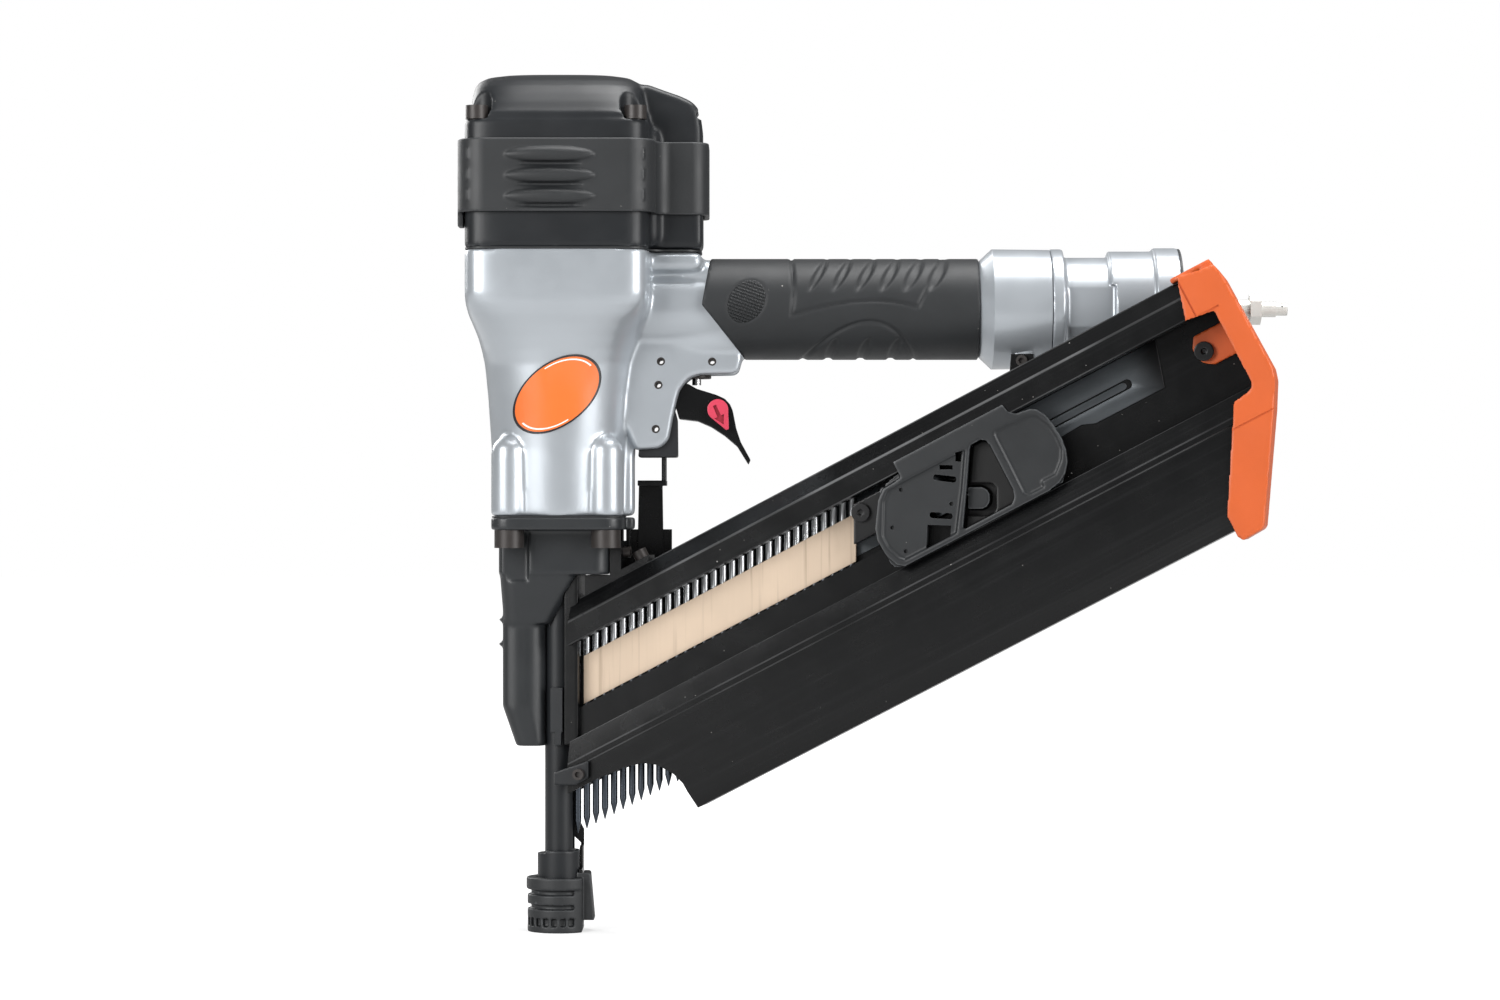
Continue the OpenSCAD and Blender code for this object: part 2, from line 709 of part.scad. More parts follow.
module valve_plunger() color("#e3e5e6") at_handle() translate([valve_x, 0, 0]) {
    translate([0, 0, plunger_dz]) cylinder(r = 2, h = -23.7 - plunger_dz);
    translate([0, 0, -23.7]) cylinder(r = 3.2, h = 3);
}

module valve_spring() color("#c8ccd0") at_handle() translate([valve_x, 0, -20.7])
    coil_spring(2.6, 0.35, 10.7, 6);

// ---------------------------------------------------------------- handle

module handle_grip() color(graphite) at_handle() difference() {
    intersection() {
        rod_x_axis(grip_r, grip_x - 5, bell_x);
        slab(-40, 40) grip_outline();
    }
    rod_x_axis(tube_r + run, 0, bell_x + 5);
}

module handle_end_cap() color(metal) at_handle() difference() {
    translate([end_cap_x, 0, 0]) rotate([0, 90, 0]) rotate_extrude() polygon([
        [tube_in - 3.4, -12], [tube_in - 0.1, -12], [tube_in - 0.1, -8], [tube_in - 1.6, -8],
        [tube_in - 1.6, -6], [tube_in - 0.1, -6], [tube_in - 0.1, 0], [27, 0], [27, 5.5],
        [23.2, 6], [23.2, 25.7], [26, 26], [26, 45.7], [27.5, 46.2], [27.5, end_cap_len],
        [0, end_cap_len], [0, end_cap_len - 14], [19, end_cap_len - 14], [19, 4],
        [tube_in - 3.4, 2]
    ]);
    rod_x_axis(plug_thread_d / 2 + 0.1, end_cap_x, plug_x + 1);
    // flats for a wrench
    for (s = [-1, 1]) translate([end_cap_x + 6.5, s * 31.5 - 10, -40]) cube([21.5, 20, 50]);
}

module end_cap_seal() color("#1c1d1f") at_handle() translate([end_cap_x - 7, 0, 0]) rotate([0, 90, 0])
    o_ring(tube_in - 0.85, 0.7);

module end_cap_trim() color(black) at_handle() translate([plug_x, 0, 0]) rotate([0, 90, 0])
    difference() {
        cylinder(r = 27.2, h = 1.2);
        translate([0, 0, -1]) cylinder(r = 16, h = 4);
    }

module air_filter() color("#8f9a6a") at_handle() translate([end_cap_x + 5, 0, 0]) rotate([0, 90, 0])
    difference() {
        cylinder(r = 18.7, h = end_cap_len - 14 - 5.3);
        translate([0, 0, -1]) cylinder(r = 14, h = end_cap_len);
    }

module air_plug() color("#c3c7ca") at_handle() difference() {
    union() {
        rod_x_axis(plug_thread_d / 2, plug_x - 14, plug_x);
        translate([plug_x, 0, 0]) rotate([0, 90, 0]) rotate_extrude() polygon([
            [0, 0], [8, 0], [8, 18], [7, 19.5], [4.4, 20], [4.4, 22], [5.6, 22.6], [5.6, 25],
            [4.4, 25.6], [4.4, 33.2], [0, 33.2]
        ]);
        translate([plug_x + 33, 0, 0]) rotate([0, 90, 0]) cylinder(d = plug_hex / cos(30), h = 5, $fn = 6);
        rod_x_axis(plug_d / 2, plug_x + 38 - eps, plug_x + 44.8);
        rod_x_axis(plug_d / 2 - 0.65, plug_x + 44.8 - eps, plug_x + 50);
    }
    rod_x_axis(1.4, plug_x - 20, plug_x + 60);
    cross_pin(0.5, plug_x + 47.4, 1.2, 20);
}

// ---------------------------------------------------------------- nose

module nose_gasket() color("#1c1d1f") translate([0, 0, flange_top]) linear_extrude(gasket_t)
    difference() {
        rounded_rect(2 * flange_half - 0.6, 2 * flange_half - 0.6, nose_boss_r);
        circle(bore_r + 0.2);
        for (sx = [-1, 1], sy = [-1, 1])
            translate([sx * nose_screw_xy, sy * nose_screw_xy]) circle(nose_screw_r + clear);
    }

module nose_casting() color(graphite) difference() {
    union() {
        translate([0, 0, nose_h]) linear_extrude(flange_t) {
            rounded_rect(2 * flange_half, 2 * flange_half, nose_boss_r);
            translate([0, -9]) square([flange_half + 4.1, 18]);
        }
        // block under the flange, wedge below it and the long front guard
        translate([-2, 0, nose_h - 20]) linear_extrude(20 + eps) rounded_rect(50, 29, 7);
        hull() {
            translate([-8.5, 0, nose_h - 21]) linear_extrude(1.5) rounded_rect(36, 27, 7, $fn = 32);
            translate([-14, 0, nose_h - 42]) linear_extrude(1) rounded_rect(22, 19, 6, $fn = 32);
        }
        translate([-14.5, 0, 102]) linear_extrude(nose_h - 134) rounded_rect(22, 18, 6);
        hull() {
            translate([-14.5, 0, 101]) linear_extrude(1) rounded_rect(22, 18, 6, $fn = 32);
            translate([-12.2, 0, 83.2]) linear_extrude(1) rounded_rect(14.4, 15, 5, $fn = 32);
        }
        for (z = [128, 139]) translate([-23.5, 0, z]) cylinder(r = 3.8, h = 1.6);
    }
    translate([0, 0, 50]) cylinder(r = guide_r + run, h = far);
    at_corners(nose_screw_xy) {
        translate([0, 0, nose_h - 25]) cylinder(r = nose_head_r + 0.6, h = 25);
        cylinder(r = nose_screw_r + clear, h = far);
    }
    // seat for the shoe that leads the nails in, and the hole of the mount's screw
    on_feed_plane() {
        translate([3.2, -9.4, 50]) cube([40, 18.8, nose_h - 20 - 50]);
        mount_screw_b() cylinder(r = 1.5 + run, h = 14);
    }
}

module nose_screws() color("#3a3230") at_corners(nose_screw_xy) translate([0, 0, nose_h])
    cap_head_screw(nose_screw_d, 25);

module drive_guide() color(graphite) difference() {
    translate([0, 0, guide_z]) cylinder(r = guide_r, h = flange_top - guide_z);
    translate([0, 0, guide_z - 1]) cylinder(r = guide_bore, h = far);
    // slot for the shanks and a window for the heads
    on_feed_plane() {
        translate([0, -shank_r - 0.5, 37]) cube([20, shank_d + 1, head_z - 37]);
        translate([0, -head_r - 0.5, head_z - 6]) cube([20, head_d + 1, 18]);
    }
}

module feed_shoe() color(black) difference() {
    on_feed_plane() translate([3.5, -9, 84]) cube([shoe_x - 3.5, 18, nose_h - 20 - 84]);
    translate([0, 0, 50]) cylinder(r = guide_r + run, h = far);
    on_feed_plane() {
        translate([0, -shank_r - 0.6, 50]) cube([20, shank_d + 1.2, head_z - 50]);
        translate([0, -head_r - 0.5, head_z - 6]) cube([20, head_d + 1, 20]);
    }
}

module nose_clamp() color(graphite) difference() {
    on_feed_plane() {
        translate([-2.4, -9.4, 89.5]) cube([5.6, 3.8, 20]);
        translate([-0.4, -9.4, 83.6]) cube([3, 2.4, 6]);
    }
    translate([0, 0, 50]) cylinder(r = guide_r + run, h = far);
}

module arm_bracket() color(black) difference() {
    union() {
        translate([flange_half, 9.3, nose_h - 8]) cube([1.8, arm_y + arm_t + clear + 2 - 9.3, 13]);
        translate([flange_half, arm_y + arm_t + clear, nose_h - 34]) cube([50 - flange_half, 2, 34]);
        translate([spring_x - 5, arm_y + arm_t + clear, ledge_z]) cube([10, spring_y - arm_y + 2, 2]);
    }
    translate([spring_x, spring_y, 0]) cylinder(r = 1.5 + clear, h = far);
    translate([flange_half - 1, 13, nose_h - 3]) rod_x_axis(1.6, 0, 5);
}

module contact_arm() color(black) {
    slab(arm_y, arm_y + arm_t) polygon([
        [35, arm_top], [45.8, arm_top], [46.8, nose_h - 14], [46.8, arm_tab_z], [7, 84], [6, 52],
        [10.2, 44], [10.2, 24], [8.7, 24], [8.7, 38], [-1, 47], [-1, 88], [33.8, arm_tab_z + 10],
        [33.8, nose_h - 14]
    ]);
    // bridge to the rod, spring tab with its pin, and the strip onto the foot
    translate([35, -2.5, arm_top]) cube([12.9, arm_y + arm_t + 2.5, 2.4]);
    translate([spring_x - 4, arm_y, arm_tab_z - 2]) cube([8, spring_y - arm_y + 4, 2]);
    translate([spring_x, spring_y, arm_tab_z - eps]) cylinder(r = 1.5, h = 40);
    translate([foot_r - 1.3, -6, 22.3]) cube([1.5, arm_y + arm_t + 6, 5.7]);
    translate([foot_r - 1.3, 4, 28 - eps]) cube([1.5, arm_y + arm_t - 4, 9.4]);
}

module contact_rod() color(black) translate([rod_x, 0, arm_top + 2.4])
    cylinder(r = rod_r, h = handle_z - 48.9 - arm_top - 2.4);

module contact_spring() color("#c8ccd0") translate([spring_x, spring_y, arm_tab_z])
    coil_spring(3, 0.5, ledge_z - arm_tab_z, 8);

module contact_foot() color(graphite) difference() {
    translate([0, 0, foot_z]) cylinder(r = foot_r, h = foot_top - foot_z);
    translate([0, 0, foot_z - 1]) cylinder(r = foot_in, h = far);
    // flat that takes the arm, and a slot that clears the waiting nails
    translate([foot_r - 1.3, -20, 0]) cube([20, 40, 60]);
    on_feed_plane() translate([0, -3, 28]) cube([20, 6, 20]);
    translate([-20, -20, foot_top - 1.2]) cube([14, 40, 4]);
}

module no_mar_tip() color(graphite) difference() {
    union() {
        intersection() {
            union() {
                cylinder(d = tip_d - 1, h = tip_h - 5);
                translate([0, 0, tip_h - 5]) cylinder(d = tip_d, h = 5);
                cylinder(d = tip_d - 2, h = 2.7);
            }
            translate([-30, -30, -1]) cube([30 + foot_r + 0.4, 60, 60]);
        }
        // block that wraps the end of the arm
        slab(-7, 7) polygon([
            [foot_r - 4, 5.2], [foot_r + 5.7, 5.2], [foot_r + 3.9, 26], [foot_r + 3, 26.5],
            [foot_r - 4, 26.5]
        ]);
    }
    translate([0, 0, 2.7]) cylinder(r = tip_in, h = far);
    cylinder(r = foot_in, h = 8, center = true);
    translate([foot_r - 1.6, -6.4, 21.8]) cube([2.2, 20, 30]);
    translate([0, -3.2, 26.6]) cube([30, 6.4, 20]);
    // grooves round the tip and a row of windows near its foot
    for (z = [10.3, 16.7]) translate([0, 0, z]) difference() {
        cylinder(d = tip_d + 2, h = 2.2);
        translate([0, 0, -1]) cylinder(d = tip_d - 4.4, h = 5);
        translate([foot_r - 3, -30, -1]) cube(60);
    }
    for (a = [54:16:306]) rotate(a) translate([tip_d / 2 - 2.4, -1.4, 2.8]) cube([4, 2.8, 3.7]);
}

// ---------------------------------------------------------------- magazine

// Section of the extrusion: y across the magazine, z up its slope
module magazine_section() difference() {
    polygon([
        [-mag_half, 8.5], [-mag_half + 3.4, 0], [mag_half - 1.5, 0], [mag_half, 1.5],
        [mag_half, mag_h - 3.6], [mag_half - 3.5, mag_h], [-mag_half + 7.6, mag_h],
        [-mag_half, mag_h - 7.6], [-mag_half, rail_low], [-1.95, rail_low], [-1.95, head_ledge],
        [-4.2, head_ledge], [-4.2, mag_h - 8], [4.2, mag_h - 8], [4.2, head_ledge],
        [channel_far, head_ledge], [channel_far, 2.4], [-mag_half + 4.4, 2.4],
        [-mag_half + mag_wall, 9], [-mag_half + mag_wall, ridge_h - 0.4], [-mag_half + 5.9, ridge_h + 8.5],
        [-mag_half + 4, ridge_h + 8.9], [-mag_half, ridge_h + 0.6], [-mag_half - 0.6, ridge_h],
        [-mag_half - 0.6, ridge_h - 2.2], [-mag_half, ridge_h - 2.8]
    ]);
    polygon([
        [channel_far + 1.6, 3], [mag_half - mag_wall, 3],
        [mag_half - mag_wall, mag_h - 4], [channel_far + 1.6, mag_h - 4]
    ]);
}

// Side outline that ends the magazine, upright below and square to it above
module magazine_rear(gap = 0) polygon([
    [0, -60], [mag_len - 75 + gap, -60], [mag_len - 43 + gap, -1], [mag_len - 39 + gap, 7],
    [mag_len - 20.8 + gap, 37.7], [mag_len - 13.5 + gap, 49.6], [mag_len - 4.5 + gap, 51],
    [mag_len - 4.5 + gap, mag_h + 60], [0, mag_h + 60]
]);

module magazine_body() color(black) difference() {
    on_magazine() intersection() {
        rotate([90, 0, 90]) linear_extrude(mag_len) magazine_section();
        slab(-30, 30) magazine_rear();
    }
    on_feed_plane() {
        // upright front end with a notch for the shoe, and the holes of the clamp and the mount
        translate([front_x - 100, -50, -50]) cube([100, 100, 400]);
        translate([0, -9.4, 60]) cube([shoe_x + 0.4, 18.8, 200]);
        mount_screw_a() cylinder(r = 2 + run, h = 12);
        mount_screw_c() cylinder(r = 1.5 + run, h = 12);
        // room for the head of the lug's screw where the handle is long
        translate([lug_x + 5, mag_half - 3.2, handle_z - 23.8]) rotate([-90, 0, 0])
            cylinder(r = 2.5 + clear, h = 4);
    }
    on_magazine() {
        slab(-30, 30) polygon([
            [-20, -20], [-20, 32], [38.2, 32], [54.5, 30.7], [61.7, 28.5], [66.8, 25],
            [71.5, 18.1], [73.3, 12.6], [74.4, -20]
        ]);
        translate([mag_len - 19.4, 2, 76]) rotate([-90, 0, 0]) cylinder(r = 2.1, h = 8);
        translate([rear_screw[0], 20, rear_screw[1]]) rotate([90, 0, 0]) cylinder(r = 2 + run, h = 9);
    }
}

// Wedge between the casting and the magazine's upper face, with a rear lug
module magazine_mount() color(black) on_feed_plane() difference() {
    slab(-7, 7) polygon([
        [13, mag_top(13)], [42, mag_top(42)], [42, mag_top(42) + 3], [29.5, mag_top(29.5) + 3],
        [29.5, nose_h - 5], [24.4, nose_h - 5], [24.4, nose_h - 20.3], [13, nose_h - 20.3]
    ]);
    mount_screw_a() cylinder(r = 2 + run, h = 12);
    mount_screw_b() cylinder(r = 1.5 + run, h = 14);
}

// Height of the magazine's upper face in the plane of the nails
function mag_top(x) = mag_z + mag_h / cos(feed_slope) + x * rise;

// Places of the three front mount screws in the plane of the nails
module mount_screw_a() translate([38, 0, mag_top(38) + 3.4]) rotate([0, 180 - feed_slope, 0]) children();
module mount_screw_b() translate([29.5, 0, nose_h - 10]) rotate([0, -90, 0]) children();
module mount_screw_c() translate([13, -mag_half - 3.9, 71.6]) rotate([-90, 0, 0]) children();

module mount_screws() color("#3a3230") on_feed_plane() {
    mount_screw_a() cap_head_screw(4, 8);
    mount_screw_b() cap_head_screw(3, 12);
    mount_screw_c() cap_head_screw(3, 5.4);
    // rear bracket: one screw into the lug, one into the magazine
    translate([lug_x + 5, mag_half + 0.05, handle_z - 23.8]) rotate([-90, 0, 0]) cap_head_screw(3, 6.2);
    rear_mount_screw() cap_head_screw(4, 5);
}

// Place of the rear screw in the plane of the nails
module rear_mount_screw() translate([0, 0, mag_z]) rotate([0, -feed_slope, 0])
    translate([rear_screw[0], mag_half + 2.95, rear_screw[1]]) rotate([90, 0, 0]) children();

module lower_clamp() color(graphite) difference() {
    union() {
        intersection() {
            translate([0, 0, 66.6]) cylinder(r = guide_r + 2.4, h = 5.7);
            translate([0.4, -20, 0]) cube([20, 18, 100]);
        }
        on_feed_plane() {
            translate([1.5, -mag_half - 3.9, 66.6]) cube([5.2, mag_half, 5.7]);
            slab(-mag_half - 3.9, -mag_half - 0.9) polygon([
                [1.5, 66.6], [11, 66.6], [17, 70], [17, 77.6], [1.5, 72.3]
            ]);
        }
    }
    translate([0, 0, 50]) cylinder(r = guide_r + run, h = far);
    on_feed_plane() {
        translate([0, -shank_r - 0.6, 50]) cube([20, shank_d + 1.2, 60]);
        mount_screw_c() cylinder(r = 1.5 + run, h = 12);
    }
}

module magazine_liner() color("#4a4f53") on_magazine() difference() {
    slab(channel_far - liner_t, channel_far) polygon([
        [86, 62], [mag_len - 82, 72.5], [mag_len - 76, 70.2], [mag_len - 70, 70],
        [mag_len - 42, 70], [mag_len - 36, 90.5], [86, 90.5]
    ]);
    slab(0, 10) link([200, 79], [mag_len - 56, 79], 4.4);
}

module feed_band() color("#b9bdc1") on_magazine()
    translate([90, band_y, 67]) cube([drum_x - 90, 0.25, 9]);

// Rear plate between the magazine's far face and the lug under the bell
module magazine_bracket() color(black) difference() {
    on_feed_plane() slab(mag_half + 0.05, mag_half + 2.95) polygon([
        [lug_x - 4, handle_z - 72], [lug_x + 14, handle_z - 62], [lug_x + 10, handle_z - 20.7],
        [lug_x, handle_z - 20.7]
    ]);
    on_feed_plane() translate([lug_x + 5, 0, handle_z - 23.8]) rotate([-90, 0, 0])
        cylinder(r = 1.5 + run, h = 60);
    on_magazine() translate([rear_screw[0], 0, rear_screw[1]]) rotate([-90, 0, 0])
        cylinder(r = 2 + run, h = 60);
}

module magazine_end_cap() color(orange) on_magazine() {
    difference() {
        union() {
            slab(-mag_half - 1.8, mag_half + 1.8) polygon([
                [mag_len - 14.5, mag_h + 1.4], [mag_len + 2.2, mag_h - 1.4], [mag_len + 3.5, mag_h - 8],
                [mag_len + 4.2, 55], [mag_len + 2.8, 50], [mag_len - 3.5, 39], [mag_len - 30.6, -4],
                [mag_len - 32, -5], [mag_len - 41.6, -5.5], [mag_len - 43, -3], [mag_len - 43, 7],
                [mag_len - 24.8, 37.7], [mag_len - 17.5, 49.6], [mag_len - 11, 50.4],
                [mag_len - 8, 51.6], [mag_len - 7, 54], [mag_len - 7, 88.4], [mag_len - 20, 90.4]
            ]);
            // step that runs over the top of the extrusion
            slab(-mag_half + 6, mag_half + 1.8) translate([mag_len - 18, mag_h - 12])
                square([19.3, 14.6]);
        }
        // room for the end of the extrusion
        intersection() {
            slab(-mag_half - 0.9, mag_half + 0.3) magazine_rear(0.3);
            translate([0, -30, -0.3]) cube([far, 60, mag_h + 0.6]);
        }
    }
    // tab in front of the channel's wall, for the screw
    difference() {
        slab(channel_far - 2.2, channel_far - 0.05) polygon([
            [mag_len - 3, 68.7], [mag_len - 18, 68.7], [mag_len - 22, 71.5], [mag_len - 23.5, 75],
            [mag_len - 23.5, 79.5], [mag_len - 20.5, 84], [mag_len - 3, 84]
        ]);
        translate([mag_len - 19.4, 0, 76]) rotate([-90, 0, 0]) cylinder(r = 2 + run, h = 9);
    }
}

module end_cap_screw() color("#2e2f31") on_magazine() translate([mag_len - 19.4, channel_far - 2.3, 76])
    rotate([-90, 0, 0]) difference() {
        union() {
            translate([0, 0, -2.2]) cylinder(r = 4.3, h = 2.2);
            cylinder(r = 2, h = 8);
        }
        translate([0, 0, -2.3]) cylinder(r = 1.4, h = 1.6, $fn = 6);
    }

// ---------------------------------------------------------------- pusher and nails

module pusher_frame() color(graphite) on_magazine() translate([pusher_x, 0, 0]) {
    front = -mag_half - 1.5;
    difference() {
        union() {
            // bar in front of the rail, frame plate and thumb pad
            translate([21, front, rail_low - 2]) cube([55, 1.2, 7]);
            slab(front, -mag_half + 2) polygon([
                [0, 57], [1, 54.4], [3.4, ridge_h + 9.3], [84, ridge_h + 9.3], [88, 57.5], [90, 62],
                [90.4, 70], [89, 79], [85.5, 85.4], [81, rail_low - 2], [76, rail_low - 0.4],
                [21, rail_low - 0.4], [11, 87.6], [0.6, 70.2]
            ]);
            // box that holds the spring drum, and the runner in the head channel
            slab(-mag_half + 1, 0.6) polygon([
                [4, 56.5], [33.5, 56.5], [54.5, 88.5], [21, 88.5], [10, 84], [4, 70]
            ]);
            translate([31, -1.5, rail_low - 5]) cube([40, 3, 9]);
            translate([31, -3.8, head_ledge + clear]) cube([40, 7.6, 3]);
            // boss seen through the hand window
            translate([44, -mag_half + 2, 59]) cube([9, mag_half - 1.4, 9]);
            translate([30, -3, 57]) cube([20, 3.6, 6]);
        }
        // recess of the thumb pad and the hand window beside it
        slab(front - 1, front + 0.8) polygon([
            [67, 82.4], [67, 57.2], [70.8, 55.4], [82, 55.8], [93, 58], [93, 84], [86, 90], [84, 90]
        ]);
        slab(front - 1, -mag_half + 2.01) polygon([
            [32.6, 54.6], [56.8, 54.6], [60.6, 56], [62.3, 58.6], [62.5, 81.8], [61.6, 84.6],
            [59.6, 86], [53.9, 86.4]
        ]);
        // drum chamber, its slots, room for the band and the screw's hole
        translate([32, band_y - drum_r - clear, 64.6]) cylinder(r = drum_r + clear, h = 22.3);
        slab(-60, -4) {
            link([33.6, 81], [40.4, 77.4], 3);
            link([25.6, 67], [32.6, 63.2], 3);
            link([38.6, 84.8], [42, 83], 2.6);
            polygon([[23.6, 61.6], [30.6, 58.4], [30.6, 57.5], [24.6, 57.5]]);
        }
        translate([20, band_y - 0.5, 50]) cube([26, 20, 50]);
        translate([-5, -mag_half + 4, 71]) cube([24, 30, 40]);
    }
}

// Axis of the pusher screw, from the near side of its head
module pusher_screw_axis() translate([-1.4, -mag_half + 4.4, 82.6]) rotate([-90, 0, 0]) children();

module pusher_pawl() color("#8d9297") difference() {
    on_magazine() translate([pusher_x - 14, -mag_half + 4.4, 71.5]) cube([31, mag_half - 3.2, 16]);
    on_feed_plane() translate([strip_end + 0.75 - 60, -30, 0]) cube([60, 60, 400]);
    on_magazine() translate([pusher_x, 0, 0]) pusher_screw_axis() cylinder(r = 2 + run, h = 14);
}

module pusher_screw() color("#8d9297") on_magazine() translate([pusher_x, 0, 0]) pusher_screw_axis()
    difference() {
        union() {
            translate([0, 0, -2.2]) cylinder(r = 4.2, h = 2.2);
            cylinder(r = 2, h = 13);
        }
        translate([0, 0, -2.3]) cylinder(r = 1.4, h = 1.6, $fn = 6);
    }

module feed_spring_drum() color("#b9bdc1") on_magazine()
    translate([drum_x, band_y - drum_r - clear, 65])
    difference() {
        cylinder(r = drum_r - 0.1, h = 21.5);
        translate([0, 0, -1]) cylinder(r = 3.2, h = 40);
    }

module nail() {
    translate([0, 0, -nail_len + 5]) cylinder(r = shank_r, h = nail_len - 5 - head_h + eps, $fn = 20);
    translate([0, 0, -nail_len]) cylinder(r1 = 0.25, r2 = shank_r, h = 5 + eps, $fn = 20);
    translate([0, 0, -head_h]) intersection() {
        cylinder(r = head_r, h = head_h, $fn = 32);
        translate([-10, -10, -1]) cube([10 + head_clip, 20, 10]);
    }
}

module nail_strip() color("#8b98a5") on_feed_plane() for (i = [1:nail_count])
    translate([i * nail_pitch, 0, head_z + i * nail_pitch * rise]) nail();

module nail_tape() color("#d9b48c") on_feed_plane() {
    x0 = nail_pitch - shank_r - 0.4;
    x1 = nail_count * nail_pitch + shank_r + 0.4;
    low = mag_z + tape_z / cos(feed_slope);
    tall = tape_w / cos(feed_slope);
    for (y = [-shank_r - 0.3, shank_r + 0.02]) slab(y, y + 0.28) polygon([
        [shoe_x + 1.2, low + (shoe_x + 1.2) * rise], [x1, low + x1 * rise],
        [x1, low + tall + x1 * rise], [shoe_x + 1.2, low + tall + (shoe_x + 1.2) * rise]
    ]);
}

cylinder_cap();
cap_screws();
cap_gasket();
bumper_band();
head_valve();
head_valve_seal();
head_valve_spring();
cylinder_sleeve();
sleeve_o_rings();
piston();
piston_ring();
piston_nut();
driver_blade();
piston_bumper();
housing();
badge();
body_pins();
trigger_pin();
trigger_guide();
trigger();
trigger_spring();
selector_knob();
contact_lever();
valve_housing();
valve_o_rings();
valve_plunger();
valve_spring();
handle_grip();
handle_end_cap();
end_cap_seal();
end_cap_trim();
air_filter();
air_plug();
nose_gasket();
nose_casting();
nose_screws();
drive_guide();
feed_shoe();
nose_clamp();
arm_bracket();
contact_arm();
contact_rod();
contact_spring();
contact_foot();
no_mar_tip();
magazine_body();
magazine_mount();
mount_screws();
lower_clamp();
magazine_liner();
magazine_bracket();
magazine_end_cap();
end_cap_screw();
feed_band();
pusher_frame();
pusher_pawl();
pusher_screw();
feed_spring_drum();
nail_strip();
nail_tape();
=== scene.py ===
# %% [markdown]
# A pneumatic strip nailer and its finishes
#
# The construction of the tool comes from a CAD model: every piece is already there at its
# real size and in its place, and it moves as the real one does. This script gives the pieces
# their looks. Castings, rubber and moulded plastic get rounded meshes of their own, machined
# pieces get broken edges, and every piece gets a finish that is worked out from noise.

# %% Load the frame
import json
import math

import bpy
import numpy as np
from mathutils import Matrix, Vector

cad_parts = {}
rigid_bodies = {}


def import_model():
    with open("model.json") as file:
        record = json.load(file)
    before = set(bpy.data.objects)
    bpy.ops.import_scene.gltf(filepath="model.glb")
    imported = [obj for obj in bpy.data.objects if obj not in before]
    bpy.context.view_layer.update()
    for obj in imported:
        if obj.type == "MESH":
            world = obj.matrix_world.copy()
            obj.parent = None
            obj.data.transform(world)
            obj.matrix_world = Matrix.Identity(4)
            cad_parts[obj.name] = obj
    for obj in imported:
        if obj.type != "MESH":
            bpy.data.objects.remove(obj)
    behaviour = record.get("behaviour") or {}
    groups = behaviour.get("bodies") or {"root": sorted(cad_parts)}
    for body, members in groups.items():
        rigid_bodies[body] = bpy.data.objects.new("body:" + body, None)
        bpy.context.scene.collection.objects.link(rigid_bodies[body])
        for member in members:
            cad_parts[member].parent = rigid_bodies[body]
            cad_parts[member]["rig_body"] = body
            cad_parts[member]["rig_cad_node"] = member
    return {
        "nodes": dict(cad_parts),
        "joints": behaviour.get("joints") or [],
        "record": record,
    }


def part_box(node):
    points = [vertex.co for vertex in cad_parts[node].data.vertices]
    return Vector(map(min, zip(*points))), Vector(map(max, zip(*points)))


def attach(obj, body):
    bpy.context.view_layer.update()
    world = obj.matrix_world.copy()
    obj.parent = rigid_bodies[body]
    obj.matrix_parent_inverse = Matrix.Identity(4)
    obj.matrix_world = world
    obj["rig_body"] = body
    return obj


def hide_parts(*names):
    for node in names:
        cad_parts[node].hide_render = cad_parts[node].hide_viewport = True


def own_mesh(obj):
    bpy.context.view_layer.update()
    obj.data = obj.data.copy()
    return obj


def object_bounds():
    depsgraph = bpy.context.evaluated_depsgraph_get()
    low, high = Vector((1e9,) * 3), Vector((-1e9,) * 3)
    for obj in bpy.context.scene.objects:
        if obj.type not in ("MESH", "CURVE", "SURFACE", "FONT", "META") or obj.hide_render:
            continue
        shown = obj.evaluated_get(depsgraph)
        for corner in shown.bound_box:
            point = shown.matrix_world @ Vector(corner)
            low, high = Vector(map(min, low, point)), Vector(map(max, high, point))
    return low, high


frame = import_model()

nodes = frame["nodes"]
cad_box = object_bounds()
body_of = {name: body for body, names in frame["record"]["behaviour"]["bodies"].items() for name in names}
slot_of = {part["node"]: part["material_slot"] for part in frame["record"]["subparts"]}
MM = 0.001  # Blender counts in metres, the drawing in millimetres
print("pieces in the frame:", len(nodes))

# %% [markdown]
# The studio
#
# A tool catalogue shows its tools on white, lit from all sides by large soft boxes. The floor
# and the world are pale, and the lamps are big, so that the edges of black pieces carry a
# broad soft line of light. The camera looks straight at the side of the tool, from as far
# away as the tool's perspective asks for.

# %% Camera
camera_data = bpy.data.cameras.new("camera")
camera_data.lens = 94.7
camera_data.sensor_width = 36
camera_data.clip_end = 50
camera = bpy.data.objects.new("camera", camera_data)
camera.location = (0.0855, -1.775, 0.1935)
camera.rotation_euler = (math.radians(90), 0, 0)
bpy.context.scene.collection.objects.link(camera)
bpy.context.scene.camera = camera
print(f"camera: {camera_data.lens:.1f} mm lens, {-camera.location.y:.3f} m in front of the tool")

# %% Lamps
tool_middle = (cad_box[0] + cad_box[1]) / 2


def soft_box(name, place, size, power):
    """A square lamp at a place, facing the middle of the tool."""
    light = bpy.data.lights.new(name, "AREA")
    light.size = size
    light.energy = power
    lamp = bpy.data.objects.new(name, light)
    lamp.location = place
    lamp.rotation_euler = (tool_middle - Vector(place)).to_track_quat("-Z", "Y").to_euler()
    bpy.context.scene.collection.objects.link(lamp)
    print(f"{name}: {power} W, {size} m wide")


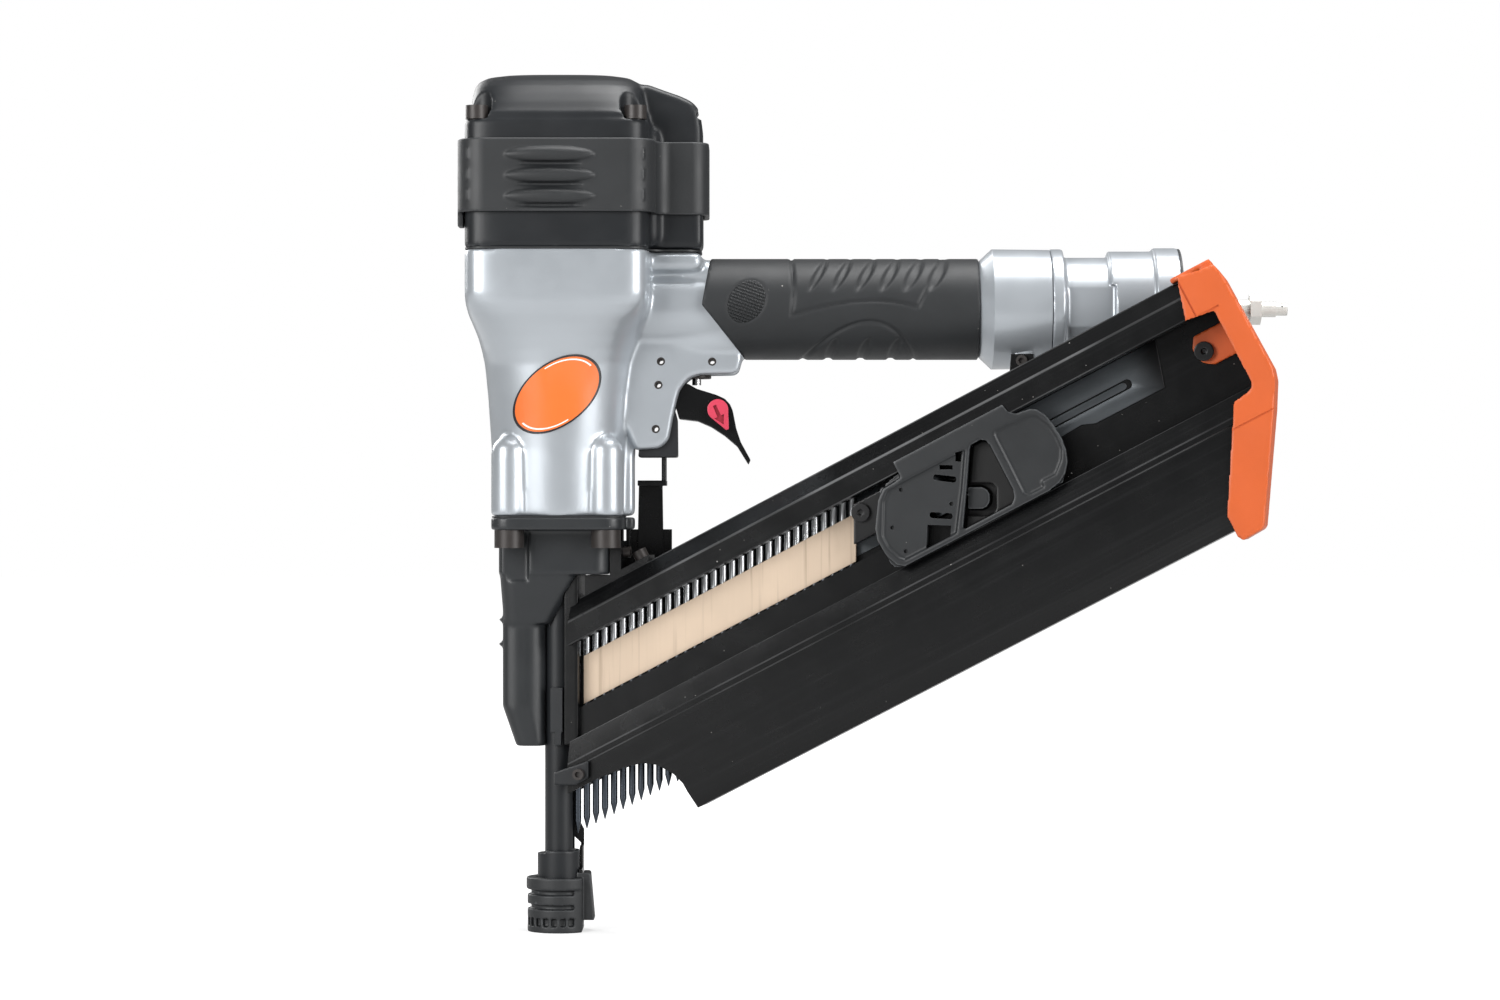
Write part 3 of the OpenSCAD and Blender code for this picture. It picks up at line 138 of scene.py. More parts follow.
soft_box("key_lamp", (-1.05, -1.25, 0.68), 0.9, 25)
soft_box("fill_lamp", (1.4, -1.1, 0.6), 0.9, 23)
soft_box("top_lamp", (0.38, -0.05, 1.6), 0.9, 26)
soft_box("rim_lamp", (-0.8, 1.0, 0.8), 0.8, 12)

# %% [markdown]
# How a finish is written
#
# Shader maths reads best as plain expressions. One small class wraps a number that varies over
# a surface and overloads the operators, so that an expression on noise or on a mask adds its
# own Math nodes. A second class holds one material and the few nodes that all finishes need.

# %% Numbers that vary over a surface
class Value:
    """A number or a colour that comes out of a node."""
    def __init__(self, nodes, socket):
        self.nodes = nodes
        self.socket = socket

    def math(self, operation, *others):
        return self.nodes.node("ShaderNodeMath", {"operation": operation}, [self, *others])

    def __add__(self, other):
        return self.math("ADD", other)

    def __sub__(self, other):
        return self.math("SUBTRACT", other)

    def __mul__(self, other):
        return self.math("MULTIPLY", other)

    def __gt__(self, other):
        return self.math("GREATER_THAN", other)

    def __lt__(self, other):
        return self.math("LESS_THAN", other)

    def __radd__(self, other):
        return self + other

    def __rmul__(self, other):
        return self * other

    def __rsub__(self, other):
        return (self * -1) + other

    def __abs__(self):
        return self.math("ABSOLUTE")


# %% Nodes of any kind
class Nodes:
    """The nodes of the world or of a material, all added through one method."""
    def __init__(self, tree):
        self.tree = tree

    def node(self, kind, settings, values, output=0):
        """Any node: its settings first, then the values or links of its sockets."""
        node = self.tree.nodes.new(kind)
        for key, value in settings.items():
            setattr(node, key, value)
        for key, value in (values.items() if isinstance(values, dict) else enumerate(values)):
            if isinstance(value, Value):
                value = value.socket
            if isinstance(value, bpy.types.NodeSocket):
                self.tree.links.new(value, node.inputs[key])
            else:
                node.inputs[key].default_value = value
        return Value(self, node.outputs[output])


# %% One material
class Finish(Nodes):
    """One material: its colour, roughness and height are gathered first and linked at the end."""
    def __init__(self, name, colour, roughness, metallic=0.0, coat=0.0):
        self.material = bpy.data.materials.new(name)
        self.material.use_nodes = True
        super().__init__(self.material.node_tree)
        self.shader = self.tree.nodes["Principled BSDF"]
        self.shader.inputs["Metallic"].default_value = metallic
        self.shader.inputs["Coat Weight"].default_value = coat
        self.shader.inputs["Coat Roughness"].default_value = 0.12
        self.colour = self.rgb(colour)
        self.roughness = roughness
        self.height = None
        self.glow = None
        self.place = self.node("ShaderNodeTexCoord", {}, {}, output="Object")

    def rgb(self, colour):
        return (*colour, 1.0) if isinstance(colour, tuple) else colour

    def stretched(self, sizes, turn=(0, 0, 0)):
        """Object coordinates, turned and divided by a size in millimetres for each axis."""
        turned = self.node("ShaderNodeMapping", {"vector_type": "TEXTURE"},
                           {"Vector": self.place, "Rotation": turn})
        return self.node("ShaderNodeMapping", {"vector_type": "POINT"},
                         {"Vector": turned, "Scale": [1 / (size * MM) for size in sizes]})

    def noise(self, size, detail=3, vector=None):
        """Noise from 0 to 1 whose lumps are about a size in millimetres."""
        values = {"Vector": vector or self.place, "Detail": detail,
                  "Scale": 1.0 if vector else 1 / (size * MM)}
        return self.node("ShaderNodeTexNoise", {}, values)

    def ramp(self, value, start, end, low=0.0, high=1.0):
        """A value that goes smoothly from low to high while another goes from start to end."""
        return self.node("ShaderNodeMapRange", {"interpolation_type": "SMOOTHSTEP"},
                         [value, start, end, low, high])

    def along(self, direction):
        """How far a place lies along a direction, in millimetres."""
        metres = self.node("ShaderNodeVectorMath", {"operation": "DOT_PRODUCT"},
                           [self.place, direction], output=1)
        return metres * (1 / MM)

    def length(self, vector):
        """How far a place lies from the middle of its coordinates."""
        return self.node("ShaderNodeVectorMath", {"operation": "LENGTH"}, [vector], output=1)

    def specks(self, size, spacing, share):
        """A mask of round specks: their size and spacing, and the share of them that shows."""
        cells = {"Vector": self.place, "Scale": 1 / (spacing * MM)}
        near = self.node("ShaderNodeTexVoronoi", {}, cells)
        cell = self.node("ShaderNodeTexVoronoi", {}, cells, output=1)
        chance = self.node("ShaderNodeSeparateColor", {}, [cell])
        return (near < size / spacing) * (chance < share)

    def tint(self, mask, colour):
        """Paints a colour over the finish where a mask is 1."""
        self.colour = self.node("ShaderNodeMix", {"data_type": "RGBA"},
                                {0: mask, 6: self.colour, 7: self.rgb(colour)}, output=2)

    def raise_by(self, height):
        """Adds to the height map, in millimetres."""
        self.height = height if self.height is None else self.height + height

    def build(self):
        """Links colour, roughness and height to the shader and gives the material."""
        for key, value in (("Base Color", self.colour), ("Roughness", self.roughness)):
            if isinstance(value, Value):
                self.tree.links.new(value.socket, self.shader.inputs[key])
            else:
                self.shader.inputs[key].default_value = value
        if self.glow is not None:
            self.tree.links.new(self.glow.socket, self.shader.inputs["Emission Color"])
            self.shader.inputs["Emission Strength"].default_value = 1.0
        if self.height is not None:
            bump = self.node("ShaderNodeBump", {}, {"Height": self.height, "Distance": MM, "Strength": 1.0})
            self.tree.links.new(bump.socket, self.shader.inputs["Normal"])
        return self.material


# %% View, world and the plane of the floor
def white_for(tree, mirrored):
    """1 for what the camera sees, straight or through glass, and a share of it in reflections."""
    straight, glossy, through = [tree.node("ShaderNodeLightPath", {}, {}, output=name)
                                 for name in ("Is Camera Ray", "Is Glossy Ray", "Is Transmission Ray")]
    return straight + glossy * mirrored + through


bpy.context.scene.view_settings.view_transform = "Standard"
world = bpy.data.worlds.new("studio")
world.use_nodes = True
bpy.context.scene.world = world
sky = Nodes(world.node_tree)
background = world.node_tree.nodes["Background"]
background.inputs["Color"].default_value = (1, 1, 1, 1)
world.node_tree.links.new((white_for(sky, 0.05) * 0.83 + 0.17).socket, background.inputs["Strength"])

bpy.ops.mesh.primitive_plane_add(size=16, location=(0.1, 0, 0))
floor = bpy.context.object
floor.name = "floor"

# %% Floor's colour
# A soft grey where the shadow falls, that goes over to pure white further off
pale = Finish("pale_floor", (0.42, 0.42, 0.42), 0.8)
pale.glow = pale.ramp(pale.length(pale.place), 0.1, 1.1, 0.6, 1.0) * white_for(pale, 0.22)
floor.data.materials.append(pale.build())
print("floor:", [round(side, 1) for side in floor.dimensions], "m")

# %% [markdown]
# The finishes
#
# The tool has few materials: silver enamel on the housing, a dark powder coat on the cap and
# the nose, black anodised aluminium on the magazine, rubber, orange and black plastic, and
# steel. Each one gets its grain at its real size, a slow change of tone, and the fine dust
# that settles on black surfaces and shows there first.

# %% Dusty black surfaces
def dust(finish, amount=0.5):
    """Sparse pale specks, as small as grains of dust, on any dark finish."""
    finish.tint(finish.specks(0.2, 5.5, 0.3 * amount) * 0.4, (0.5, 0.48, 0.45))
    finish.tint(finish.specks(0.3, 14, 0.3 * amount) * 0.6, (0.62, 0.6, 0.57))


def painted(name, colour, roughness, metallic=0.0, coat=0.0, grain=0.25, depth=0.01, tone=0.12,
            dusty=0.0, shine=0.5, wear_and_highlight=0.0):
    """A sprayed or moulded surface: slow changes of tone, a fine grain and, if asked, dust."""
    finish = Finish(name, colour, roughness, metallic, coat)
    finish.shader.inputs["Specular IOR Level"].default_value = shine
    darker = tuple(channel * (1 - tone) for channel in colour)
    finish.tint(finish.ramp(finish.noise(22), 0.35, 0.65), darker)
    finish.roughness = finish.ramp(finish.noise(12), 0.3, 0.7, roughness - 0.02, roughness + 0.03)
    # Sharply turning edges are tinted pale: partly wear, partly a painted highlight
    if wear_and_highlight:
        convex = finish.node("ShaderNodeNewGeometry", {}, {}, output="Pointiness")
        finish.tint(finish.ramp(convex, 0.515, 0.575) * wear_and_highlight, (0.1, 0.105, 0.11))
    if dusty:
        dust(finish, dusty)
    finish.raise_by(finish.noise(grain, 2) * depth)
    return finish


# %% Colours and grains that several finishes share
GRAPHITE = (0.011, 0.0125, 0.0145)
ANODISED_BLACK = (0.0035, 0.0037, 0.004)
RUBBER_BLACK = (0.014, 0.0155, 0.017)
GRIP_BLACK = (0.02, 0.0215, 0.023)
STRIP_STEEL = (0.075, 0.083, 0.09)
SIGNAL_RED = (0.6, 0.045, 0.09)
POWDERY = {"grain": 0.35, "depth": 0.02, "dusty": 1}
RUBBERY = {"grain": 0.3, "depth": 0.02, "dusty": 1}

# %% Metals, paints, rubber and plastic, one for each slot of the frame
FINISHES = {
    "silver_paint": painted("silver_enamel", (0.42, 0.45, 0.48), 0.34, metallic=0.5, coat=0.4,
                            grain=0.3, depth=0.003, tone=0.02),
    "graphite_metal": painted("graphite_powder_coat", GRAPHITE, 0.4, shine=0.36, **POWDERY),
    "black_metal": painted("black_anodised", ANODISED_BLACK, 0.25, dusty=1.6, shine=0.3),
    "black_rubber": painted("black_rubber", RUBBER_BLACK, 0.5, **RUBBERY),
    "grip_rubber": painted("grip_rubber", GRIP_BLACK, 0.52, grain=0.25, depth=0.03, dusty=0.6),
    "black_plastic": painted("black_plastic", (0.014, 0.015, 0.017), 0.4, dusty=0.6, shine=0.4),
    "orange_plastic": painted("orange_plastic", (0.57, 0.1, 0.018), 0.42, grain=0.5, depth=0.01, tone=0.05),
    "red_plastic": painted("red_plastic", SIGNAL_RED, 0.38, tone=0.08),
    "amber_rubber": painted("amber_rubber", (0.32, 0.2, 0.06), 0.5),
    "pale_plastic": painted("pale_plastic", (0.72, 0.69, 0.6), 0.4),
    "filter": painted("felt", (0.3, 0.34, 0.2), 0.9, grain=0.6, depth=0.2),
    "tape": painted("paper", (0.6, 0.4, 0.25), 0.75, grain=0.5, depth=0.01),
    "aluminium": painted("aluminium", (0.62, 0.63, 0.64), 0.3, metallic=1),
    "bright_steel": painted("bright_steel", (0.6, 0.6, 0.6), 0.24, metallic=1),
    "liner_steel": painted("liner_steel", STRIP_STEEL, 0.36, metallic=0.6),
    "dark_steel": painted("blackened_steel", (0.035, 0.03, 0.028), 0.42, metallic=0.3),
    "nail_steel": painted("nail_steel", (0.13, 0.14, 0.16), 0.3, metallic=1),
}
MATERIALS = {slot: finish.build() for slot, finish in FINISHES.items()}

# %% Rubbed edges and painted edge highlights
# Moulded and cast pieces have edges that hands and work have rubbed pale. The same pale tint is
# also a painted highlight for the light that those edges catch. The tint follows how sharply a mesh
# turns, so only a finely remeshed piece, with more faces than this, takes it.
FINE_MESH = 6000
RUBBED_AND_HIGHLIT = {
    "graphite_metal": painted("graphite_rubbed", GRAPHITE, 0.4, shine=0.36, wear_and_highlight=0.6, **POWDERY).build(),
    "black_rubber": painted("black_rubber_rubbed", RUBBER_BLACK, 0.5, wear_and_highlight=0.4, **RUBBERY).build(),
}


# %% Dressing the pieces
def dress(piece, material):
    """Gives a piece one material all over."""
    if not piece.material_slots:
        piece.data.materials.append(material)
    for material_slot in piece.material_slots:
        material_slot.link = "OBJECT"
        material_slot.material = material


for name, piece in nodes.items():
    dress(piece, MATERIALS[slot_of[name]])
print("finishes:", len(MATERIALS) + len(RUBBED_AND_HIGHLIT))

# %% [markdown]
# Shapes, made as by hand
#
# Each helper adds one primitive and shapes it with edit-mode operators. They take millimetres,
# as a drawing does. Castings are then made the way a pattern maker thinks: simple bodies are
# pushed together, a fine remesh melts them into one skin, a little smoothing turns every inner
# corner into the fillet that a casting has, and the machined holes are cut last, with crisp
# edges.

# %% Selecting and finishing
def only(piece):
    """Selects one object and nothing else."""
    bpy.ops.object.select_all(action="DESELECT")
    piece.select_set(True)
    bpy.context.view_layer.objects.active = piece


def settle(piece):
    """Applies the place, turn and size of an object to its mesh."""
    only(piece)
    bpy.ops.object.transform_apply(location=True, rotation=True, scale=True)
    return piece


def edited(piece, *steps):
    """Runs edit-mode operators on a whole mesh, then makes its faces point outwards."""
    only(piece)
    bpy.ops.object.mode_set(mode="EDIT")
    bpy.ops.mesh.select_all(action="SELECT")
    for operator, settings in steps:
        operator(**settings)
    bpy.ops.mesh.select_all(action="SELECT")
    bpy.ops.mesh.normals_make_consistent(inside=False)
    bpy.ops.object.mode_set(mode="OBJECT")
    return piece


def modified(piece, kind, **settings):
    """Adds a modifier and applies it."""
    only(piece)
    modifier = piece.modifiers.new(kind.lower(), kind)
    for key, value in settings.items():
        setattr(modifier, key, value)
    bpy.ops.object.modifier_apply(modifier=modifier.name)
    return piece


# %% Boxes, rods and balls
def block(size, centre, bevel=0.0, segments=3):
    """A box with its edges rounded."""
    bpy.ops.mesh.primitive_cube_add(size=1, location=[c * MM for c in centre])
    piece = bpy.context.object
    piece.scale = [s * MM for s in size]
    settle(piece)
    if bevel:
        edited(piece, (bpy.ops.mesh.bevel, {"offset": bevel * MM, "segments": segments, "affect": "EDGES"}))
    return piece


def rod(radius, length, centre, axis="Z", top=None, sides=48):
    """A cylinder or, with a top radius, a cone along an axis."""
    turn = {"X": (0, math.pi / 2, 0), "Y": (-math.pi / 2, 0, 0), "Z": (0, 0, 0)}[axis]
    bpy.ops.mesh.primitive_cone_add(
        vertices=sides, radius1=radius * MM, radius2=(radius if top is None else top) * MM,
        depth=length * MM, location=[c * MM for c in centre], rotation=turn)
    return settle(bpy.context.object)


def ball(radius, centre):
    """A sphere."""
    bpy.ops.mesh.primitive_uv_sphere_add(segments=32, ring_count=16, radius=radius * MM,
                                         location=[c * MM for c in centre])
    return settle(bpy.context.object)


# %% Plates with a drawn outline
def plate(outline, near, far, bevel=0.0):
    """A flat outline in X and Z, given its thickness from near to far along Y."""
    bpy.ops.mesh.primitive_circle_add(vertices=len(outline), fill_type="NGON")
    piece = bpy.context.object
    for vertex, (x, z) in zip(piece.data.vertices, outline):
        vertex.co = (x * MM, near * MM, z * MM)
    edited(piece, (bpy.ops.mesh.extrude_region_move,
                   {"TRANSFORM_OT_translate": {"value": (0, (far - near) * MM, 0)}}))
    if bevel:
        modified(piece, "BEVEL", width=bevel * MM, segments=3, limit_method="ANGLE")
    return piece


def capsule(start, end, radius, steps=8):
    """The outline of a slot with round ends, from one centre to the other."""
    lean = math.atan2(end[1] - start[1], end[0] - start[0])
    turns = [(start, lean + math.pi / 2 + math.pi * i / steps) for i in range(steps + 1)]
    turns += [(end, lean - math.pi / 2 + math.pi * i / steps) for i in range(steps + 1)]
    return [(x + radius * math.cos(turn), z + radius * math.sin(turn)) for (x, z), turn in turns]


# %% Turned shapes
def lathe(profile, centre, steps=96):
    """A closed profile of (along, radius) points, spun round and laid along X."""
    bpy.ops.mesh.primitive_circle_add(vertices=len(profile), fill_type="NOTHING")
    piece = bpy.context.object
    for vertex, (along, radius) in zip(piece.data.vertices, profile):
        vertex.co = (radius * MM, 0, along * MM)
    only(piece)
    bpy.ops.object.mode_set(mode="EDIT")
    bpy.ops.mesh.select_all(action="SELECT")
    bpy.ops.mesh.spin(steps=steps, angle=2 * math.pi, center=(0, 0, 0), axis=(0, 0, 1))
    bpy.ops.mesh.select_all(action="SELECT")
    bpy.ops.mesh.remove_doubles(threshold=1e-6)
    bpy.ops.mesh.normals_make_consistent(inside=False)
    bpy.ops.object.mode_set(mode="OBJECT")
    piece.rotation_euler = (0, math.pi / 2, 0)
    piece.location = [c * MM for c in centre]
    return settle(piece)


# %% Lofts
def loft(sections, sides=64):
    """A skin over rounded sections along Z: height, half width in X and in Y, and squareness."""
    bpy.ops.mesh.primitive_circle_add(vertices=sides, fill_type="NGON")
    piece = bpy.context.object
    angles = [2 * math.pi * i / sides for i in range(sides)]

    def ring(height, half_x, half_y, square):
        for angle in angles:
            c, s = math.cos(angle), math.sin(angle)
            x = math.copysign(abs(c) ** (2 / square), c) * half_x
            y = math.copysign(abs(s) ** (2 / square), s) * half_y
            yield x * MM, y * MM, height * MM

    only(piece)
    for vertex, place in zip(piece.data.vertices, ring(*sections[0])):
        vertex.co = place
    for section in sections[1:]:
        bpy.ops.object.mode_set(mode="EDIT")
        bpy.ops.mesh.extrude_region_move()
        bpy.ops.object.mode_set(mode="OBJECT")
        moved = [vertex for vertex in piece.data.vertices if vertex.select]
        for vertex, place in zip(moved, ring(*section)):
            vertex.co = place
    return edited(piece)


# %% Joining, cutting and melting
def joined(pieces):
    """Several objects as one mesh."""
    bpy.ops.object.select_all(action="DESELECT")
    for piece in pieces:
        piece.select_set(True)
    bpy.context.view_layer.objects.active = pieces[0]
    bpy.ops.object.join()
    return pieces[0]


def cut(piece, *cutters):
    """Takes the cutters' shapes out of a piece."""
    for cutter in cutters:
        modified(piece, "BOOLEAN", operation="DIFFERENCE", solver="MANIFOLD", object=cutter)
        bpy.data.objects.remove(cutter)
    return piece


def melt(pieces, voxel, rounds, factor=0.5):
    """Bodies pushed together and melted into one skin, with a fillet in each corner."""
    piece = joined(pieces)
    modified(piece, "REMESH", mode="VOXEL", voxel_size=voxel * MM)
    if rounds:
        modified(piece, "SMOOTH", factor=factor, iterations=rounds)
    return piece


# %% Standing in for a CAD piece
def cad_copy(node):
    """A merged copy of a CAD piece, to be shaped further."""
    only(nodes[node])
    bpy.ops.object.duplicate()
    piece = bpy.context.object
    piece.parent = None
    piece.rotation_mode = "XYZ"
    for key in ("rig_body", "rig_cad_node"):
        del piece[key]
    return edited(piece, (bpy.ops.mesh.remove_doubles, {"threshold": 1e-6}))


def stand_in(piece, node, name, smooth=35, material=None):
    """A finished mesh takes the place, body and finish of a CAD piece."""
    piece.name = name
    piece.data.name = name
    only(piece)
    bpy.ops.object.shade_smooth_by_angle(angle=math.radians(smooth))
    piece.data.materials.clear()
    own = RUBBED_AND_HIGHLIT if len(piece.data.polygons) > FINE_MESH else MATERIALS
    dress(piece, material or own.get(slot_of[node], MATERIALS[slot_of[node]]))
    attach(piece, body_of[node])
    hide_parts(node)
    print(f"{name}: {len(piece.data.polygons)} faces")
    return piece


# %% [markdown]
# The housing
#
# The silver housing is one aluminium casting: a square head that carries the cap, a round
# barrel that tapers towards the nose, four bosses for the nose screws, a flat panel that holds
# the trigger's pins, and the handle with its bell. A loft with a changing squareness gives the
# shoulder between head and barrel, where a chain of boxes would show its joints.

# %% Stations of the housing, from the CAD model
def box_mm(node):
    """The lowest and the highest corner of a CAD piece, in millimetres."""
    lowest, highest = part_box(node)
    return [c / MM for c in lowest], [c / MM for c in highest]


CORNERS = [(side_x, side_y) for side_x in (-1, 1) for side_y in (-1, 1)]
grip_low, grip_high = box_mm("handle_grip")
handle_z = (grip_low[2] + grip_high[2]) / 2
housing_low, housing_high = box_mm("housing")
body_low = housing_low[2]
body_top = box_mm("cap_gasket")[0][2]
bell_x = grip_high[0]
bell_end = housing_high[0]
head_half, half_panel = 41, 12.6
bore_r, tube_in, tube_r = 25.4, 15.5, 19.0
boss_xy, boss_r = 21.5, 8
print(f"handle axis {handle_z:.1f} mm, housing {body_low:.1f} to {body_top:.1f} mm")


def from_handle(outline):
    """An outline whose heights are drawn from the handle's axis."""
    return [(x, z + handle_z) for x, z in outline]


# %% Skin of the head and barrel
def barrel_skin(proud=0.0):
    """The head, shoulder and barrel, grown by a little where a badge has to stand proud."""
    sections = [
        (body_low, 29.8, 29.8, 2), (body_low + 30, 30.6, 30.6, 2), (body_low + 54, 32.2, 32, 2.05),
        (body_top - 50, 33.6, 33, 2.15), (body_top - 44, 34.8, 34, 2.4), (body_top - 38, 36.4, 35.5, 2.9),
        (body_top - 33, 38.2, 37.2, 3.7), (body_top - 28.5, 39.9, 39.2, 5), (body_top - 24, 40.8, 40.6, 7),
        (body_top - 20, head_half, head_half, 8.5), (body_top, head_half, head_half, 8.5)]
    return loft([(z, half_x + proud, half_y + proud, square) for z, half_x, half_y, square in sections], 96)


# %% Bodies of the casting
casting = [barrel_skin()]
for side_x, side_y in CORNERS:
    place = (side_x * boss_xy, side_y * boss_xy)
    casting.append(rod(boss_r, 28, (*place, body_low + 14)))
    casting.append(ball(boss_r, (*place, body_low + 28)))
casting.append(block((46, 37, 9), (41.5, 0, body_top - 4.5), 4, 4))
panel = from_handle([
    (0, 22), (38, 22), (47, 20.5), (56, 17), (66, 8), (72, -8), (82.1, -21), (82.1, -22.6), (80.6, -28),
    (79.2, -29.5), (63.1, -29.8), (58.2, -31.5), (54.3, -36.4), (52.8, -41.2), (50.9, -50), (49.4, -58.8),
    (45.5, -62.6), (34.2, -63.5), (31.9, -58.8), (24, -36), (0, -20)])
casting.append(plate(panel, -half_panel, half_panel, 2))
root = loft([
    (20, 21.4, half_panel, 7), (48, 21.6, 12.7, 7), (56, 21.8, 13.6, 5.5), (66, 21.9, 15.2, 4.4),
    (76, 21.9, 17, 3.4), (86, 21.9, 18.8, 2.6), (113, 21.9, 20.8, 2.15)])
root.rotation_euler = (0, math.pi / 2, 0)
root.location = (0, 0, handle_z * MM)
casting.append(settle(root))
casting.append(rod(tube_r, bell_x - 18, (bell_x / 2 + 11, 0, handle_z), "X"))
casting.append(block((15.6, 18, 40), (25.8, 0, body_low + 20), 2))
bell = lathe([(0, 14), (0, 21.4), (6, 27), (bell_end - bell_x, 26.7), (bell_end - bell_x, 14)],
             centre=(bell_x, 0, handle_z))
lug = block((10, 12, 17), (207, 24, handle_z - 23.5), 1)
lug.rotation_euler = (0, 0, math.radians(-10))
casting.append(settle(lug))
print("bodies of the housing:", len(casting), "and the bell")

# %% Melt the bodies and cut the machined holes
housing = melt(casting, 0.95, 10)
seat = [(70.95, 40), (63.95, 1.2), (83.35, -22.8), (83.35, -40), (bell_x, -40), (bell_x, 40)]
grip_room = cut(plate(from_handle(seat), -40, 40), rod(tube_r, 200, (120, 0, handle_z), "X"))
cut(housing, grip_room)
cut(housing, block((200, 200, 20), (0, 0, body_top + 10)), block((100, 100, 20), (0, 0, body_low - 10)))
housing = joined([housing, bell])
cut(housing, rod(bore_r, 200, (0, 0, body_low + 80)), rod(tube_in, 260, (144, 0, handle_z), "X"))
trigger_slot = plate(from_handle([(33.7, -27.5), (90, -27.5), (90, -90), (33.7, -90)]), -9.3, 9.3)
cut(housing, trigger_slot, rod(6.75, 25, (61.5, 0, handle_z - 20)))
pin_r = 1.85
for x, z in ((44.6, -34.3), (43.4, -54), (45.7, -23.8), (68.6, -23.9)):
    cut(housing, rod(pin_r, 60, (x, 0, handle_z + z), "Y"))
stand_in(housing, "housing", "housing_casting", 40)

# %% [markdown]
# The badge
#
# A domed sticker, oval and tilted, lies on the round barrel. It is cut from a skin that is half
# a millimetre proud of the barrel, so it follows the curve exactly. It is left bare, but for the
# thin dark rim that such stickers have and two thin pale arcs inside the rim.

# %% Badge
badge_low, badge_high = box_mm("badge")
badge_z = (badge_low[2] + badge_high[2]) / 2
badge_tilt = math.radians(-37.5)
badge_half = (22.5, 13.8)
punch = rod(1 / MM, 60, (0, 0, 0), "Y", sides=96)
punch.scale = (badge_half[0] * MM, 1, badge_half[1] * MM)
punch.rotation_euler = (0, badge_tilt, 0)
punch.location = (0, -30 * MM, badge_z * MM)
settle(punch)
badge = modified(barrel_skin(0.55), "BOOLEAN", operation="INTERSECT", solver="MANIFOLD", object=punch)
bpy.data.objects.remove(punch)
cut(badge, barrel_skin(0.02))

# %% Enamel of the badge, with two pale arcs and a dark rim
ALL_THROUGH = 1000  # so large a size that nothing changes along that axis
sticker = painted("badge_enamel", (0.86, 0.17, 0.025), 0.22, coat=0.6, depth=0.002, tone=0.03)
flat = sticker.node("ShaderNodeMapping", {"vector_type": "TEXTURE"}, {
    "Vector": sticker.place, "Location": (0, 0, badge_z * MM), "Rotation": (0, badge_tilt, 0),
    "Scale": (badge_half[0] * MM, ALL_THROUGH, badge_half[1] * MM)})
from_middle = sticker.length(flat)
lengthwise = sticker.node("ShaderNodeSeparateXYZ", {}, [flat])
arc = (from_middle > 0.86) * (from_middle < 0.895) * (abs(lengthwise) > 0.12)
crosswise = sticker.node("ShaderNodeSeparateXYZ", {}, [flat], output=2)
sticker.tint(arc * (lengthwise * crosswise > 0.05), (0.9, 0.9, 0.88))
sticker.tint(from_middle > 0.945, (0.012, 0.01, 0.012))
stand_in(badge, "badge", "oval_badge", 35, sticker.build())

# %% [markdown]
# The cap and its rubber band
#
# The cap is a pressure casting with a pillow-shaped crown. Deep pockets run up the crown over
# each screw, and a lobe at the back carries the exhaust. The crown is a loft whose sections
# shrink and round off towards the top; the pockets are upright cylinders taken out of it before
# the melt, so that their rims come out soft, as on a casting.

# %% Skirt, crown and lobe of the cap
(_, _, cap_low), (lobe_end, _, cap_top) = box_mm("cylinder_cap")
seat_z = cap_top - 22.6
skirt = loft([(cap_low, head_half, head_half, 8.5), (seat_z - 0.8, head_half, head_half, 8.5),
              (seat_z, 40.2, 40.2, 8.5)], 96)
crown = loft([
    (seat_z - 2, 40, 40, 7), (seat_z + 2.6, 40, 40, 6.5), (seat_z + 4, 38.8, 38.9, 6),
    (seat_z + 8, 38.5, 36.4, 5.5), (seat_z + 12, 38.2, 33.4, 5), (seat_z + 15.5, 37.6, 30, 4.6),
    (seat_z + 18.3, 36, 26, 4.2), (seat_z + 20.4, 32.5, 21.5, 3.8), (seat_z + 21.7, 26, 15.5, 3.3),
    (seat_z + 22.3, 17, 10, 2.8), (cap_top, 5, 3, 2.4)], 96)
lobe = plate([(20, cap_low), (lobe_end, cap_low), (lobe_end - 0.2, seat_z - 2), (lobe_end - 1.2, seat_z + 5),
              (lobe_end - 3.8, seat_z + 9.4), (lobe_end - 10.5, seat_z + 12.4), (47, seat_z + 14.8),
              (40.5, seat_z + 17.2), (20, seat_z + 19)], -18.5, 18.5, 3)
neck_tall = cap_top - cap_low - 24
neck = block((16, 46, neck_tall), (38, 0, cap_low + neck_tall / 2), 6, 4)
print(f"the cap is {cap_top - cap_low:.1f} mm tall and its lobe ends at {lobe_end:.1f} mm")

# %% Screw pockets, then the bores and the cross hole
screw_xy, pocket_r, screw_r = 35, 6.6, 3.3
cap = melt([skirt, crown, lobe, neck], 1.0, 0)
for side_x, side_y in CORNERS:
    cut(cap, rod(pocket_r, 40, (side_x * screw_xy, side_y * screw_xy, seat_z + 20)))
cap = melt([cap], 0.85, 3)
cut(cap, block((200, 200, 20), (0, 0, cap_low - 10)))
cut(cap, rod(30.3, 46, (0, 0, cap_low + 10)), rod(27.6, 71, (0, 0, cap_low + 35)))
cut(cap, block((lobe_end - 28, 25, 38), ((lobe_end + 12) / 2, 0, cap_low + 18.9)))
cut(cap, rod(3.6, 44, (45, 0, seat_z + 4), "X"), rod(2.9, 60, (lobe_end - 0.4, 0, seat_z + 4.4), "Y"))
for side_x, side_y in CORNERS:
    cut(cap, rod(screw_r, 80, (side_x * screw_xy, side_y * screw_xy, cap_low + 30)))
stand_in(cap, "cylinder_cap", "cap_casting", 40)

# %% [markdown]
# The rubber band is stretched round the cap like a bumper. It is the CAD ring with its edges
# melted round. The flat ribs of the CAD are planed off its two flanks; three shorter grip ribs
# are laid on each flank as lenses, with a shallow furrow under each one.

